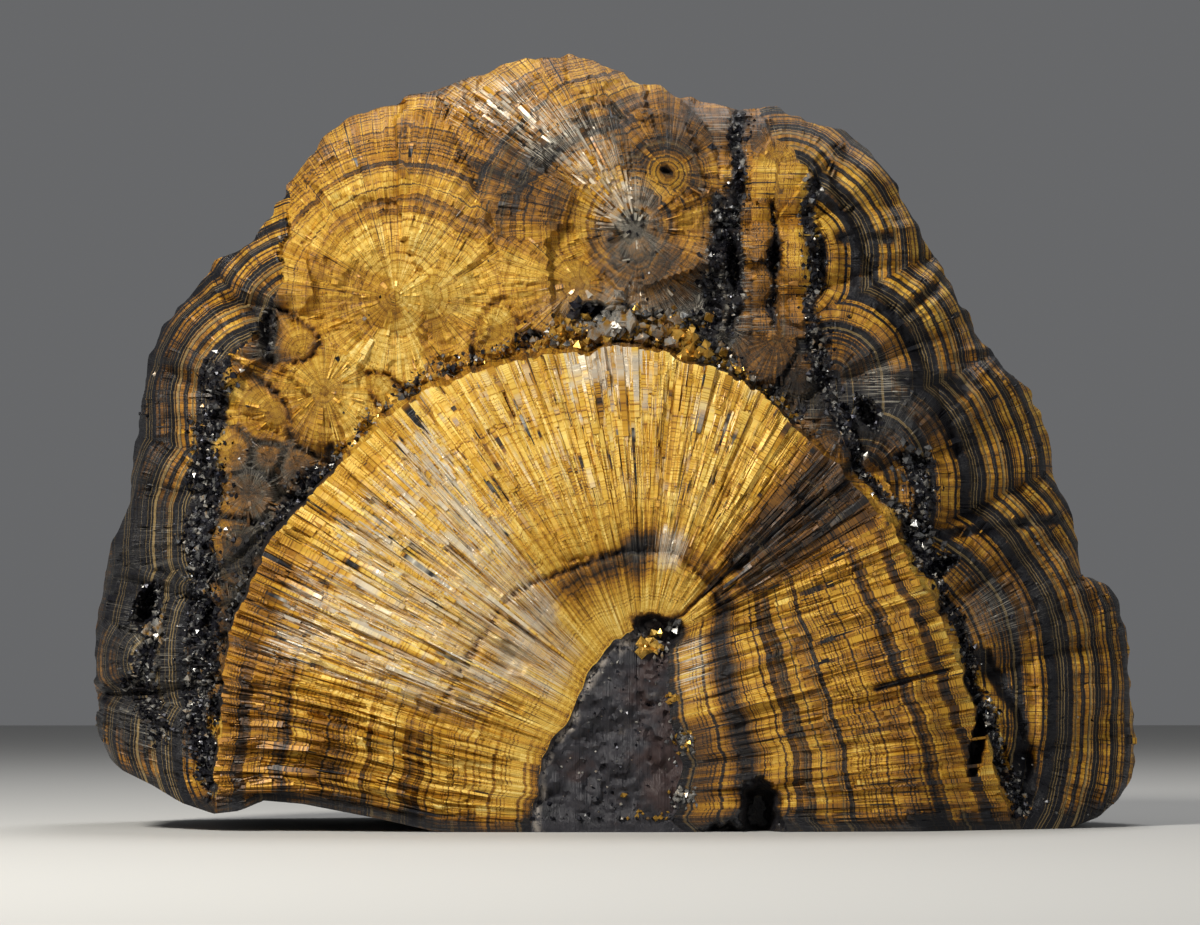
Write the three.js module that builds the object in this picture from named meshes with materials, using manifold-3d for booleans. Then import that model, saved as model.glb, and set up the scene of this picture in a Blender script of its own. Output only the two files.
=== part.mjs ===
// A rough piece of goethite, about 31 cm wide: a fan of fibres broken open on its front,
// kidney-shaped lobes round its sides and back, and a flat break underneath that it rests on.
// Millimetres, +Z up. The broken face looks along -Y. The origin is the middle of the base.
import * as THREE from "three";
import { mergeVertices } from "three/addons/utils/BufferGeometryUtils.js";
import Module from "manifold-3d";

// Driving dimensions
const FACE_Y = -72; // the broken face at the middle of its foot
const BACK_Y = 72; // the back before its lobes swell
const FACE_LEAN = 0.1; // the face leans back by this share of its height
const FACE_BOW = 8; // how far the face curves back at FACE_BOW_REACH from its middle
const FACE_BOW_REACH = 117;
const LEFT_TURN = { from: -112, slope: 0.5 }; // where the face turns away at its sides
const RIGHT_TURN = { from: 85, slope: 0.4 };
const TOP_TURN = { from: 195, slope: 0.4 }; // where it leans back more, near its top
const FAN_PROUD = 6; // the fan stands out this far
const EDGE_WIDTH = 0.03; // width of the step at its edge, as a share of the way to the outline
const FOOT_FADE = 9; // the relief dies out over this height above the base
const RIM_FROM = 0.86; // from this share of the way out, the face rounds over to the back
const RIM_DROP = 8.8; // how far back the outline lies because of it
const BACK_POLE = { x: 6, z: 48 }; // where the rings of the back close
const BACK_FULLNESS = 2.7; // exponent of the back's curve, 2 is an ellipse
const CALM_REACH = 6; // the notches of the outline are evened out over this many steps
const LOBE_RADIUS = 23;
const LOBE_CREASE = 27; // no crease is deeper than the swell this far from a lobe's middle
const LOBE_HEIGHT = 8;
const LOBE_CENTRE_Z = 50; // the lobes swell away from this height on the middle line
const LOBE_ROWS = [[0.1, 15], [0.26, 14], [0.42, 12], [0.58, 10], [0.74, 7], [0.92, 4]];

// Mesh density
const LAST_STATION = 24;
const OVER = 3.25 * LAST_STATION; // steps over the top, from the right foot to the left one
const UNDER = 7; // steps back along the base
const CORE_ROWS = 3;
const FAN_ROWS = 11;
const RIM_ROWS = 11;
const BACK_ROWS = 15;

const FOOT = [-4, 0]; // the middle of the core's foot, as [x, z]
// The core, the fan's edge and the stone's outline, as [station, x, z]. Stations run from 0 at the
// right foot over the top to 24 at the left foot, and fibres run from the core to the fan's edge
// at one station.
const CORE = [
  [0, 17, 0], [1, 16.5, 7], [2, 15.5, 15], [3, 14.5, 22], [4, 13, 32], [5, 12, 50],
  [6, 14, 56], [7, 15, 59], [8, 14, 60], [10, 10, 61], [12, 5, 60], [14, -1, 56],
  [16, -7, 50], [17, -10, 46], [18, -12, 40], [19, -15, 33], [20, -20, 26], [21, -23, 20],
  [22, -25, 12], [23, -26, 6], [24, -26, 0],
];
const FAN_EDGE = [
  [0, 115, 0], [1, 111, 11], [2, 105, 26], [3, 100, 41], [4, 94, 56], [5, 85, 74],
  [6, 79, 86], [7, 66, 102], [8, 54, 114], [9, 43, 125], [10, 30, 134], [11, 13, 139],
  [12, -5, 140], [13, -23, 138], [14, -38, 134], [15, -56, 127], [16, -69, 118],
  [17, -83, 106], [18, -95, 92], [19, -104, 77], [20, -111, 62], [21, -115, 44],
  [22, -117, 26], [23, -118, 13], [24, -117, 0],
];
const OUTLINE = [
  [0, 134, 0], [0.5, 143, 3], [1, 149, 8], [1.5, 153.5, 15], [2, 155.7, 26], [3, 154.5, 44],
  [3.6, 154, 57], [4.2, 151, 68], [4.5, 146, 73.5], [4.8, 139.5, 75], [5.3, 138, 84],
  [5.8, 136, 92], [6.4, 132, 104], [7, 129, 116], [7.4, 126, 125], [7.8, 121, 133],
  [8.1, 115, 138], [8.5, 108, 146], [9, 100, 158], [9.3, 97, 166], [9.6, 93, 172],
  [9.9, 88, 181], [10.2, 84, 188], [10.5, 78, 197], [10.8, 72, 204.5], [11.1, 64, 208.5],
  [11.4, 55, 211], [11.7, 47, 215], [12, 37, 215], [12.3, 25, 216], [12.6, 18, 218],
  [12.8, 13, 222], [13, 6, 221.5], [13.2, 0, 226], [13.4, -6, 229.5], [13.7, -14, 231],
  [14, -24, 231], [14.3, -35, 228], [14.7, -46, 224], [15, -56, 220], [15.4, -69, 216],
  [15.8, -81, 212], [16.2, -89, 205], [16.6, -95, 195], [17, -102, 184], [17.3, -107, 175],
  [17.6, -114, 169.5], [17.8, -120, 168], [18.1, -126, 161], [18.4, -132, 155],
  [18.7, -137, 148], [19, -141, 139], [19.4, -144, 125], [19.8, -145, 112],
  [20.2, -146.5, 101], [20.6, -148.5, 92], [21, -151, 85], [21.4, -154, 76],
  [21.8, -155.7, 65], [22.3, -156, 53], [22.8, -156, 34], [23.2, -155.5, 20],
  [23.6, -154.5, 8], [24, -151, 0],
];
// Height of the underside over the surface that the stone rests on, as [x, height].
const UNDERSIDE = [
  [-156, 24], [-152, 21], [-146, 17], [-137, 13], [-128, 8], [-118, 5], [-110, 6],
  [-104, 9], [-92, 8], [-71, 4], [-53, 0],
];
const UNDERSIDE_REACH = 45; // the lift dies out at this height

// Where the lobes of the banded sides began to grow, as [x, z].
const SIDE_NUCLEI = [
  [52, 193], [56, 168], [62, 150], [78, 118], [84, 96], [92, 78], [101, 58], [108, 32], [113, 8],
  [-104, 168], [-110, 140], [-126, 112], [-128, 86], [-136, 52], [-130, 26],
];
const VALLEY_DEPTH = 6;
const VALLEY_WIDTH = 6;
const VALLEY_REACH = 75; // the valleys die out at this distance from the nuclei

// Unevenness of the face as [size across, height], round the fan and in the core.
const RIM_UNEVEN = [[13, 1.6], [6, 1]];
const CORE_UNEVEN = [[9, 1.6]];
const CORE_SUNK = 0.5;
const BUNDLE_HEIGHT = 0.9; // fibre bundles differ in height by up to this, and by as much again
const FAN_FOOT_STEP = 2.5; // the step down at the fan's edge, on top of FAN_PROUD

// The dark crystalline seams, as lines of [x, z] through the face, with lumps along them.
const SEAMS = [
  [[-118, 10], [-123, 30], [-122, 58], [-123, 90], [-122, 112], [-119, 134]],
  [[-116, 34], [-110, 64], [-98, 92], [-88, 104]],
  [[117, 8], [106, 36], [98, 58], [88, 80], [78, 100], [66, 112], [60, 130], [57, 150], [55, 190]],
  [[33, 146], [33, 176], [36, 212]],
];
const SEAM_WIDTH = 5;
const SEAM_DEPTH = 2.5;
const LUMP_SPACING = 11;
const LUMP_RADIUS = 4.6;
const LUMP_STRETCH = [0.8, 1.1, 1.3];

const HOLLOW_REACH = 10; // hollows are cut from this far in front of the face
const HOLLOW_FLOOR = 0.35; // width of a hollow's floor, as a share of its mouth
// Hollows: [x, z, half width, half height, depth, turn in degrees]
const HOLLOWS = [
  [-140, 66, 6, 11, 15, 15],
  [-121, 62, 4, 8, 10, 0],
  [-104, 147, 3.5, 11, 7, 0],
  [-9, 149, 9, 4.5, 10, 0],
  [9, 147, 5, 4, 8, 20],
  [33, 167, 5, 16, 12, -4],
  [26, 147, 4, 5, 9, 0],
  [45, 168, 3, 9, 9, 5],
  [13, 193.5, 3.5, 2.5, 6, 15],
  [49, 193, 3.5, 2.5, 6, 0],
  [72, 122, 5, 9, 9, -35],
  [86, 108, 11, 3, 9, 8],
  [93, 77, 9, 4, 10, -20],
  [104, 26, 3, 16, 9, 10],
  [10, 57, 7, 3.5, 8, 20],
  [41, 8, 9, 9, 16, 0],
];

// Reads a list of [place, ...values] at a place between two of its rows.
function between(list, place) {
  let i = 0;
  while (i < list.length - 2 && place > list[i + 1][0]) i += 1;
  const [a, b] = [list[i], list[i + 1]];
  const share = THREE.MathUtils.clamp((place - a[0]) / (b[0] - a[0]), 0, 1);
  return a.slice(1).map((value, k) => THREE.MathUtils.lerp(value, b[k + 1], share));
}

// A repeatable number from -1 to 1 for a pair of whole numbers.
function scatter(i, j) {
  const wave = Math.sin(i * 127.1 + j * 311.7) * 43758.5453;
  return 2 * (wave - Math.floor(wave)) - 1;
}

// The broken face as one smooth surface, before its relief.
function facePlane(x, z) {
  const bow = FACE_BOW * (x / FACE_BOW_REACH) ** 2;
  const left = LEFT_TURN.slope * Math.max(0, LEFT_TURN.from - x);
  const right = RIGHT_TURN.slope * Math.max(0, x - RIGHT_TURN.from);
  const top = TOP_TURN.slope * Math.max(0, z - TOP_TURN.from);
  return FACE_Y + FACE_LEAN * z + bow + left + right + top;
}

// Valleys between the banded lobes, deepest where two lobes meet.
function valley(x, z) {
  const far = SIDE_NUCLEI.map(([nx, nz]) => Math.hypot(x - nx, z - nz)).sort((a, b) => a - b);
  const fade = 1 - THREE.MathUtils.smoothstep(far[0], 0.7 * VALLEY_REACH, VALLEY_REACH);
  return fade * VALLEY_DEPTH * Math.exp(-(far[1] - far[0]) / VALLEY_WIDTH);
}

// Smooth repeatable unevenness from -1 to 1, with bumps about a size across.
function uneven(x, z, size) {
  const [column, row] = [Math.floor(x / size), Math.floor(z / size)];
  const u = THREE.MathUtils.smootherstep(x / size - column, 0, 1);
  const v = THREE.MathUtils.smootherstep(z / size - row, 0, 1);
  const low = THREE.MathUtils.lerp(scatter(column, row), scatter(column + 1, row), u);
  const high = THREE.MathUtils.lerp(scatter(column, row + 1), scatter(column + 1, row + 1), u);
  return THREE.MathUtils.lerp(low, high, v);
}

function roughness(x, z, layers) {
  return layers.reduce((sum, [size, height]) => sum + height * uneven(x, z, size), 0);
}

// The distance from a point of the face to the nearest seam.
function toSeam(x, z) {
  const point = new THREE.Vector3(x, 0, z);
  const nearest = new THREE.Vector3();
  let least = Infinity;
  for (const seam of SEAMS) {
    for (let i = 0; i < seam.length - 1; i += 1) {
      const ends = [seam[i], seam[i + 1]].map(([a, b]) => new THREE.Vector3(a, 0, b));
      new THREE.Line3(...ends).closestPointToPoint(point, true, nearest);
      least = Math.min(least, nearest.distanceTo(point));
    }
  }
  return least;
}

// Fibre bundles of the fan: each stands a little higher or lower than the next, in broken lengths.
function bundle(step, row) {
  const length = 2 + Math.floor(2 * Math.abs(scatter(step, 7)));
  return BUNDLE_HEIGHT * (scatter(step, 3) + scatter(step, Math.floor(row / length)));
}

// The rings, from the core's foot at the front to the pole of the back.
function rings() {
  const list = [];
  for (let i = 0; i < CORE_ROWS; i += 1) list.push({ zone: "core", share: i / CORE_ROWS, row: i });
  for (let i = 0; i <= FAN_ROWS; i += 1) list.push({ zone: "fan", share: i / FAN_ROWS, row: i });
  for (let i = 0; i <= RIM_ROWS; i += 1) {
    const share = THREE.MathUtils.lerp(EDGE_WIDTH, 1, i / RIM_ROWS);
    list.push({ zone: "rim", share, row: i });
  }
  for (let i = 1; i <= BACK_ROWS; i += 1) list.push({ zone: "back", share: i / BACK_ROWS, row: i });
  return list;
}

// A point of the front, on the way from the core past the fan's edge to the outline.
function frontPoint(ring, step) {
  const station = (step / OVER) * LAST_STATION;
  const core = between(CORE, station);
  const edge = between(FAN_EDGE, station);
  const outline = between(OUTLINE, station);
  const [from, to] = { core: [FOOT, core], fan: [core, edge], rim: [edge, outline] }[ring.zone];
  const x = THREE.MathUtils.lerp(from[0], to[0], ring.share);
  const z = THREE.MathUtils.lerp(from[1], to[1], ring.share);
  return new THREE.Vector3(x, facePlane(x, z) + frontRelief(ring, step, x, z), z);
}

function frontRelief(ring, around, x, z) {
  const fade = THREE.MathUtils.smoothstep(z, 0, FOOT_FADE);
  if (ring.zone === "core") return fade * (CORE_SUNK + roughness(x, z, CORE_UNEVEN));
  if (ring.zone === "fan") {
    const rise = FAN_PROUD * THREE.MathUtils.smoothstep(ring.share, 0, 0.5);
    return fade * (bundle(around, ring.row) * Math.min(1, 2 * ring.share) - rise);
  }
  const step = FAN_FOOT_STEP * (1 - THREE.MathUtils.smoothstep(ring.share, 0, 0.35));
  const seam = SEAM_DEPTH * Math.exp(-((toSeam(x, z) / SEAM_WIDTH) ** 2));
  const relief = step + seam + valley(x, z) + roughness(x, z, RIM_UNEVEN);
  const over = Math.max(0, ring.share - RIM_FROM) / (1 - RIM_FROM);
  return fade * relief + RIM_DROP * over ** 2;
}

function outlinePoint(step) {
  return frontPoint({ zone: "rim", share: 1, row: RIM_ROWS }, step);
}

// The outline with its notches evened out, as it is further back. It keeps its feet.
function calmOutlinePoint(step) {
  const reach = Math.min(CALM_REACH, step, OVER - step);
  const middle = new THREE.Vector3();
  for (const offset of [-1, -0.5, 0, 0.5, 1]) {
    middle.addScaledVector(outlinePoint(step + offset * reach), 1 / 5);
  }
  return middle;
}

// A point of the back: the outline shrinks towards the back's pole as it goes deeper.
function backPoint(share, step) {
  const calm = THREE.MathUtils.smoothstep(share, 0, 0.3);
  const outline = outlinePoint(step).lerp(calmOutlinePoint(step), calm);
  const turn = (share * Math.PI) / 2;
  const shrink = Math.max(0, Math.cos(turn)) ** (2 / BACK_FULLNESS);
  const deep = Math.sin(turn) ** (2 / BACK_FULLNESS);
  const poleHeight = BACK_POLE.z * THREE.MathUtils.smoothstep(share, 0.45, 1);
  return new THREE.Vector3(
    THREE.MathUtils.lerp(BACK_POLE.x, outline.x, shrink),
    THREE.MathUtils.lerp(outline.y, BACK_Y, deep),
    THREE.MathUtils.lerp(poleHeight, outline.z, shrink),
  );
}

// Middles of the kidney-shaped lobes, in rows that go round the back.
function lobeMiddles() {
  return LOBE_ROWS.flatMap(([share, count], r) =>
    Array.from({ length: count }, (_, i) => {
      const place = ((i + 0.5 + 0.3 * scatter(i, r)) / count) * OVER;
      return backPoint(share + 0.04 * scatter(r, i + 20), place);
    }),
  );
}
const LOBES = lobeMiddles();

// How far the lobes swell out at a point of the back.
function swell(point) {
  const near = Math.min(LOBE_CREASE, ...LOBES.map((middle) => middle.distanceTo(point)));
  return LOBE_HEIGHT * (1 - (near / LOBE_RADIUS) ** 2);
}

function swollenBackPoint(ring, step) {
  const point = backPoint(ring.share, step);
  const out = point.clone().sub(new THREE.Vector3(0, 0, LOBE_CENTRE_Z)).normalize();
  const offFoot = THREE.MathUtils.smoothstep(point.z, 0, 14);
  const offFace = THREE.MathUtils.smoothstep(ring.share, 0, 0.15);
  return point.addScaledVector(out, offFoot * offFace * (swell(point) - LOBE_HEIGHT / 2));
}

function overPoint(ring, step) {
  return ring.zone === "back" ? swollenBackPoint(ring, step) : frontPoint(ring, step);
}

// A ring runs over the top from the right foot to the left one, and back along the base.
function ringPoint(ring, around) {
  if (around <= OVER) return overPoint(ring, around);
  const share = (around - OVER) / UNDER;
  return overPoint(ring, OVER).lerp(overPoint(ring, 0), share);
}

// Lifts the left part of the underside clear of the surface.
function lift(point) {
  const [height] = between(UNDERSIDE, point.x);
  point.z += height * Math.max(0, 1 - point.z / UNDERSIDE_REACH);
  return point;
}

function stoneGeometry() {
  const ringList = rings();
  const around = OVER + UNDER;
  const geometry = new THREE.SphereGeometry(1, around, ringList.length - 1);
  const position = geometry.getAttribute("position");
  ringList.forEach((ring, row) => {
    for (let i = 0; i <= around; i += 1) {
      const point = lift(ringPoint(ring, i % around));
      position.setXYZ(row * (around + 1) + i, point.x, point.y, point.z);
    }
  });
  return geometry;
}

// A hollow: a faceted spindle that reaches from in front of the face to its depth.
function hollowGeometry([x, z, halfWidth, halfHeight, depth, turn]) {
  const length = depth + HOLLOW_REACH;
  const geometry = new THREE.CylinderGeometry(1, HOLLOW_FLOOR, 1, 7, 1);
  geometry.scale(halfWidth, length, halfHeight);
  geometry.rotateX(Math.PI);
  geometry.rotateY(THREE.MathUtils.degToRad(turn));
  geometry.translate(x, facePlane(x, z) - HOLLOW_REACH + length / 2, z);
  return geometry;
}

// Lumps of dark crystals along a seam, each a low many-faced pebble half sunk in the face.
function seamLumps(seam, s) {
  const path = new THREE.CurvePath();
  for (let i = 0; i < seam.length - 1; i += 1) {
    path.add(new THREE.LineCurve(new THREE.Vector2(...seam[i]), new THREE.Vector2(...seam[i + 1])));
  }
  const count = Math.round(path.getLength() / LUMP_SPACING);
  return Array.from({ length: count }, (_, i) => {
    const on = path.getPoint((i + 0.5) / count);
    const [x, z] = [on.x + 2.5 * scatter(i, s), on.y + 2 * scatter(i, s + 9)];
    const radius = LUMP_RADIUS * (1 + 0.35 * scatter(i, s + 17));
    const lump = new THREE.IcosahedronGeometry(radius, 0);
    lump.scale(...LUMP_STRETCH);
    lump.rotateY(3 * scatter(i, s + 23));
    lump.rotateX(3 * scatter(i, s + 29));
    lump.translate(x, facePlane(x, z) + SEAM_DEPTH, z);
    return lump;
  });
}

const wasm = await Module();
wasm.setup();

function solid(geometry) {
  const bare = geometry.clone();
  bare.deleteAttribute("normal");
  bare.deleteAttribute("uv");
  const merged = mergeVertices(bare, 1e-4);
  const mesh = new wasm.Mesh({
    numProp: 3,
    vertProperties: merged.getAttribute("position").array,
    triVerts: new Uint32Array(merged.index.array),
  });
  return new wasm.Manifold(mesh);
}

function geometryOf(manifold) {
  const { vertProperties, triVerts } = manifold.getMesh();
  const geometry = new THREE.BufferGeometry();
  geometry.setAttribute("position", new THREE.BufferAttribute(vertProperties, 3));
  geometry.setIndex(new THREE.BufferAttribute(triVerts, 1));
  return geometry;
}

// The largest of a solid's separate bodies: crumbs that a hollow cuts free fall away.
function largestBody(manifold) {
  const bodies = manifold.decompose();
  return bodies.reduce((a, b) => (a.volume() > b.volume() ? a : b));
}

function goethite() {
  let stone = solid(stoneGeometry());
  for (const lump of SEAMS.flatMap(seamLumps)) stone = stone.add(solid(lump));
  for (const hollow of HOLLOWS) stone = stone.subtract(solid(hollowGeometry(hollow)));
  const geometry = geometryOf(largestBody(stone));
  geometry.computeVertexNormals();
  const material = new THREE.MeshStandardMaterial({
    color: 0xa8701f,
    roughness: 0.45,
    metalness: 0.15,
    flatShading: true,
  });
  const mesh = new THREE.Mesh(geometry, material);
  mesh.name = "goethite";
  return mesh;
}

const specimen = new THREE.Group();
specimen.add(goethite());
export default specimen;
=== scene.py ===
import bpy
import numpy as np
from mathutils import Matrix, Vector
from mathutils.geometry import delaunay_2d_cdt


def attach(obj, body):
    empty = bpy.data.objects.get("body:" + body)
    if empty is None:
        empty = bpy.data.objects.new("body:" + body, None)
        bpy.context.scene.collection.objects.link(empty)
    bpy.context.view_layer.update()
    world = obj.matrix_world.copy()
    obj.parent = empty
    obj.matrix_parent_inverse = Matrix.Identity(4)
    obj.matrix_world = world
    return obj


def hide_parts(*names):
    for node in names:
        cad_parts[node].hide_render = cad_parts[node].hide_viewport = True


# A rough piece of goethite, about 31 cm wide. Its broken front shows a fan of fibres that grew
# outwards from a dark core, and kidney-shaped lobes lie round its sides and back.
# Shapes are worked out in millimetres and turned into metres when a mesh is made.
MM = 0.001

# The broken face. It looks along -Y.
FACE_Y = -72.0
FACE_LEAN = 0.1
FACE_BOW = 8.0
FACE_BOW_REACH = 117.0
LEFT_TURN_FROM = -112.0
LEFT_TURN_SLOPE = 0.5
RIGHT_TURN_FROM = 85.0
RIGHT_TURN_SLOPE = 0.4
TOP_TURN_FROM = 195.0
TOP_TURN_SLOPE = 0.4
# How far the fan stands out of the face at each station.
FAN_PROUD = [(0, 2.2), (5, 2.6), (7.5, 4.5), (9, 6), (16, 6), (20, 4), (24, 3)]
FAN_FOOT_STEP = 2.5
FAN_FOOT_REACH = 0.35
EDGE_WIDTH = 0.03
FOOT_FADE = 9.0
RIM_FROM = 0.86
RIM_DROP = 8.8
RIM_UNEVEN = [(13, 1.6), (6, 1.0)]
CORE_UNEVEN = [(9, 1.6), (5, 0.8)]
CORE_SUNK = 0.5
CORE_RAGGED = [(22, 1.6), (9, 0.9)]
# How many times as ragged the core's edge is at each station.
CORE_RAGGEDNESS = [(0, 2.2), (5, 2.2), (7, 1.0), (24, 1.0)]
EDGE_RAGGED = [(17, 1.8), (5, 1.0), (1.8, 0.7)]
# Fine scallops of the outline, as (size, height, row), the height that they fade in over, and how
# far apart its points are.
SCALLOPS = [(9, 0.9, 3.0), (4, 0.7, 8.0)]
SCALLOPS_FROM = (4, 14)
OUTLINE_STEP = 1.5

# The back and its lobes.
BACK_Y = 72.0
BACK_POLE_X = 6.0
BACK_POLE_Z = 48.0
BACK_FULLNESS = 2.7
CALM_REACH = 6.0
LOBE_RADIUS = 23.0
LOBE_CREASE = 27.0
LOBE_HEIGHT = 8.0
LOBE_CENTRE_Z = 50.0
LOBE_ROWS = [(0.1, 15), (0.26, 14), (0.42, 12), (0.58, 10), (0.74, 7), (0.92, 4)]
STEPS = 78.0
LAST_STATION = 24.0

# The core, the fan's edge and the stone's outline, as (station, x, z). Stations run from 0 at the
# right foot over the top to 24 at the left foot.
FOOT = (-4.0, 0.0)
CORE = [
    (0, 17, 0), (1, 16.5, 7), (2, 15.5, 15), (3, 14.5, 22), (4, 13, 32), (5, 12, 50),
    (6, 14, 56), (7, 15, 59), (8, 14, 60), (10, 10, 61), (12, 5, 60), (14, -1, 56),
    (16, -7, 50), (17, -10, 46), (18, -12, 40), (19, -15, 33), (20, -20, 26), (21, -23, 20),
    (22, -25, 12), (23, -26, 6), (24, -26, 0),
]
FAN_EDGE = [
    (0, 115, 0), (1, 111, 11), (2, 105, 26), (3, 100, 41), (4, 94, 56), (5, 85, 74),
    (6, 79, 86), (7, 66, 102), (8, 54, 114), (9, 43, 125), (10, 30, 134), (11, 13, 139),
    (12, -5, 140), (13, -23, 138), (14, -38, 134), (15, -56, 127), (16, -69, 118),
    (17, -83, 106), (18, -95, 92), (19, -104, 77), (20, -111, 62), (21, -115, 44),
    (22, -117, 26), (23, -118, 13), (24, -117, 0),
]
OUTLINE = [
    (0, 134, 0), (0.5, 143, 3), (1, 149, 8), (1.5, 153.5, 15), (2, 155.7, 26), (3, 154.5, 44),
    (3.6, 154, 57), (4.2, 151, 68), (4.5, 146, 73.5), (4.8, 139.5, 75), (5.3, 138, 84),
    (5.8, 136, 92), (6.4, 132, 104), (7, 129, 116), (7.4, 126, 125), (7.8, 121, 133),
    (8.1, 115, 138), (8.5, 108, 146), (9, 100, 158), (9.3, 97, 166), (9.6, 93, 172),
    (9.9, 88, 181), (10.2, 84, 188), (10.5, 78, 197), (10.8, 72, 204.5), (11.1, 64, 208.5),
    (11.4, 55, 211), (11.7, 47, 215), (12, 37, 215), (12.3, 25, 216), (12.6, 18, 218),
    (12.8, 13, 222), (13, 6, 221.5), (13.2, 0, 226), (13.4, -6, 229.5), (13.7, -14, 231),
    (14, -24, 231), (14.3, -35, 228), (14.7, -46, 224), (15, -56, 220), (15.4, -69, 216),
    (15.8, -81, 212), (16.2, -89, 205), (16.6, -95, 195), (17, -102, 184), (17.3, -107, 175),
    (17.6, -114, 169.5), (17.8, -120, 168), (18.1, -126, 161), (18.4, -132, 155),
    (18.7, -137, 148), (19, -141, 139), (19.4, -144, 125), (19.8, -145, 112),
    (20.2, -146.5, 101), (20.6, -148.5, 92), (21, -151, 85), (21.4, -154, 76),
    (21.8, -155.7, 65), (22.3, -156, 53), (22.8, -156, 34), (23.2, -155.5, 20),
    (23.6, -154.5, 8), (24, -151, 0),
]
# Height of the underside over the surface that the stone rests on, as (x, height).
UNDERSIDE = [
    (-156, 24), (-152, 21), (-146, 17), (-137, 13), (-128, 8), (-118, 5), (-110, 6),
    (-104, 9), (-92, 8), (-71, 4), (-53, 0),
]
UNDERSIDE_REACH = 45.0
UNDER_RELIEF = 1.3
UNDER_FACETS = 9

# Middles of the lobes that the valleys of the sides lie between, as (x, z).
VALLEY_MIDDLES = [
    (52, 193), (56, 168), (62, 150), (78, 118), (84, 96), (92, 78), (101, 58), (108, 32),
    (113, 8), (-104, 168), (-110, 140), (-126, 112), (-128, 86), (-136, 52), (-130, 26),
]
VALLEY_DEPTH = 6.0
VALLEY_WIDTH = 6.0
VALLEY_REACH = 75.0

# Dark crystalline seams, as lines of (x, z) with a width.
SEAMS = [
    ([(-118, 10), (-123, 30), (-122, 58), (-123, 90), (-122, 112), (-119, 134)], 5.0),
    ([(-116, 34), (-110, 64), (-98, 92), (-88, 104)], 3.5),
    ([(116, 5), (110, 27), (103, 45), (97, 63), (90, 77), (80, 93), (66, 112)], 2.0),
    ([(90, 77), (86, 92), (88, 106)], 3.5),
    ([(66, 112), (60, 130), (57, 150), (56, 190)], 2.6),
    ([(33, 146), (33, 176), (36, 212)], 2.8),
    ([(27, 150), (28, 166), (30, 184)], 3.6),
    ([(44, 148), (45, 168), (44, 184)], 1.2),
    ([(-137, 62), (-142, 44), (-136, 22)], 4.0),
]
SEAM_DEPTH = 2.5
# How far the strip of small crystals reaches over the fan's edge, as (station, share).
STRIP_REACH = [(8, 0.06), (10, 0.08), (11, 0.16), (12.5, 0.16), (13.5, 0.05), (18, 0.06)]

STRIP_RAGGED = 0.03
STRIP_FADE = (-0.03, 0.05)

# Where fibres began to grow round the fan, as (x, z, start, half height). They grow out of an
# upright line of that half height. A fibre reaches a place once it has grown there from its start,
# and each place belongs to the fibres that come first.
INNER_NUCLEI = [
    (4.2, 176.4, 0, 0), (-66.3, 155.7, 8, 0), (-56.4, 155.1, 13, 0), (-87, 128.4, 18, 0),
    (13.8, 192.3, 11, 0), (5.1, 168, 5, 0), (-12.3, 159.3, 12, 0), (-38, 146, 24, 0),
    (-71, 131, 27, 0), (-101, 122, 26, 0), (-95, 106, 30, 0), (-109, 98, 30, 0),
    (-85, 113, 33, 0), (-103, 109, 31, 0), (-98, 92, 33, 0), (-112, 84, 31, 0), (-113, 110, 31, 0),
    (-79, 122, 32, 0), (-93, 139, 26, 0),
    (-106, 78, 30, 0), (-114, 60, 30, 0), (33, 182, 22, 36), (22, 150, 20, 0),
    (46, 170, 20, 26), (52, 140, 26, 6), (64, 120, 26, 4), (77, 100, 26, 4), (90, 76, 26, 6),
    (100, 52, 26, 8), (110, 24, 26, 10),
]
LEFT_NUCLEI = [
    (-95, 150, 30, 0), (-104, 122, 19, 6), (-108, 88, 16, 5), (-104, 50, 9, 6), (-108, 18, 12, 4),
    (-126, 70, 33, 0), (-137, 49, 38, 0),
]
RIGHT_NUCLEI = [
    (50, 190, 30, 0), (50, 166, 14, 3), (62, 128, 8, 4), (70, 98, 2, 4), (72, 38, -22, 8),
    (86, 121, 32, 0), (95, 62, 21, 0),
]
NUCLEI = np.array(INNER_NUCLEI + LEFT_NUCLEI + RIGHT_NUCLEI, float)
FIRST_LEFT = len(INNER_NUCLEI)
FIRST_RIGHT = FIRST_LEFT + len(LEFT_NUCLEI)
NUCLEI_REACH = 60.0
MEETING_WIDTH = 1.7
MEETING_DEPTH = 2.2
# How strong the gaps between nuclei are: on the sides, round early ones, and where starts are late.
SIDE_GAPS = 0.35
EARLY_GAPS = 0.15
LATE_STARTS = (20, 27)
# Round a nucleus places are measured at this radius or more, and each begins at its own number.
LEAST_RADIUS = 36
NUCLEUS_SHIFT = 400
# Where the banded sides begin, as (z, x).
LEFT_BORDER = [
    (10, -118), (30, -122), (58, -121), (90, -122), (112, -121), (134, -118), (147, -106),
    (160, -101), (176, -98),
]
RIGHT_BORDER = [
    (8, 117), (36, 108), (58, 99), (80, 89), (100, 80), (112, 69), (130, 61), (150, 58),
    (192, 57), (205, 44), (220, 40),
]

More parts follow.
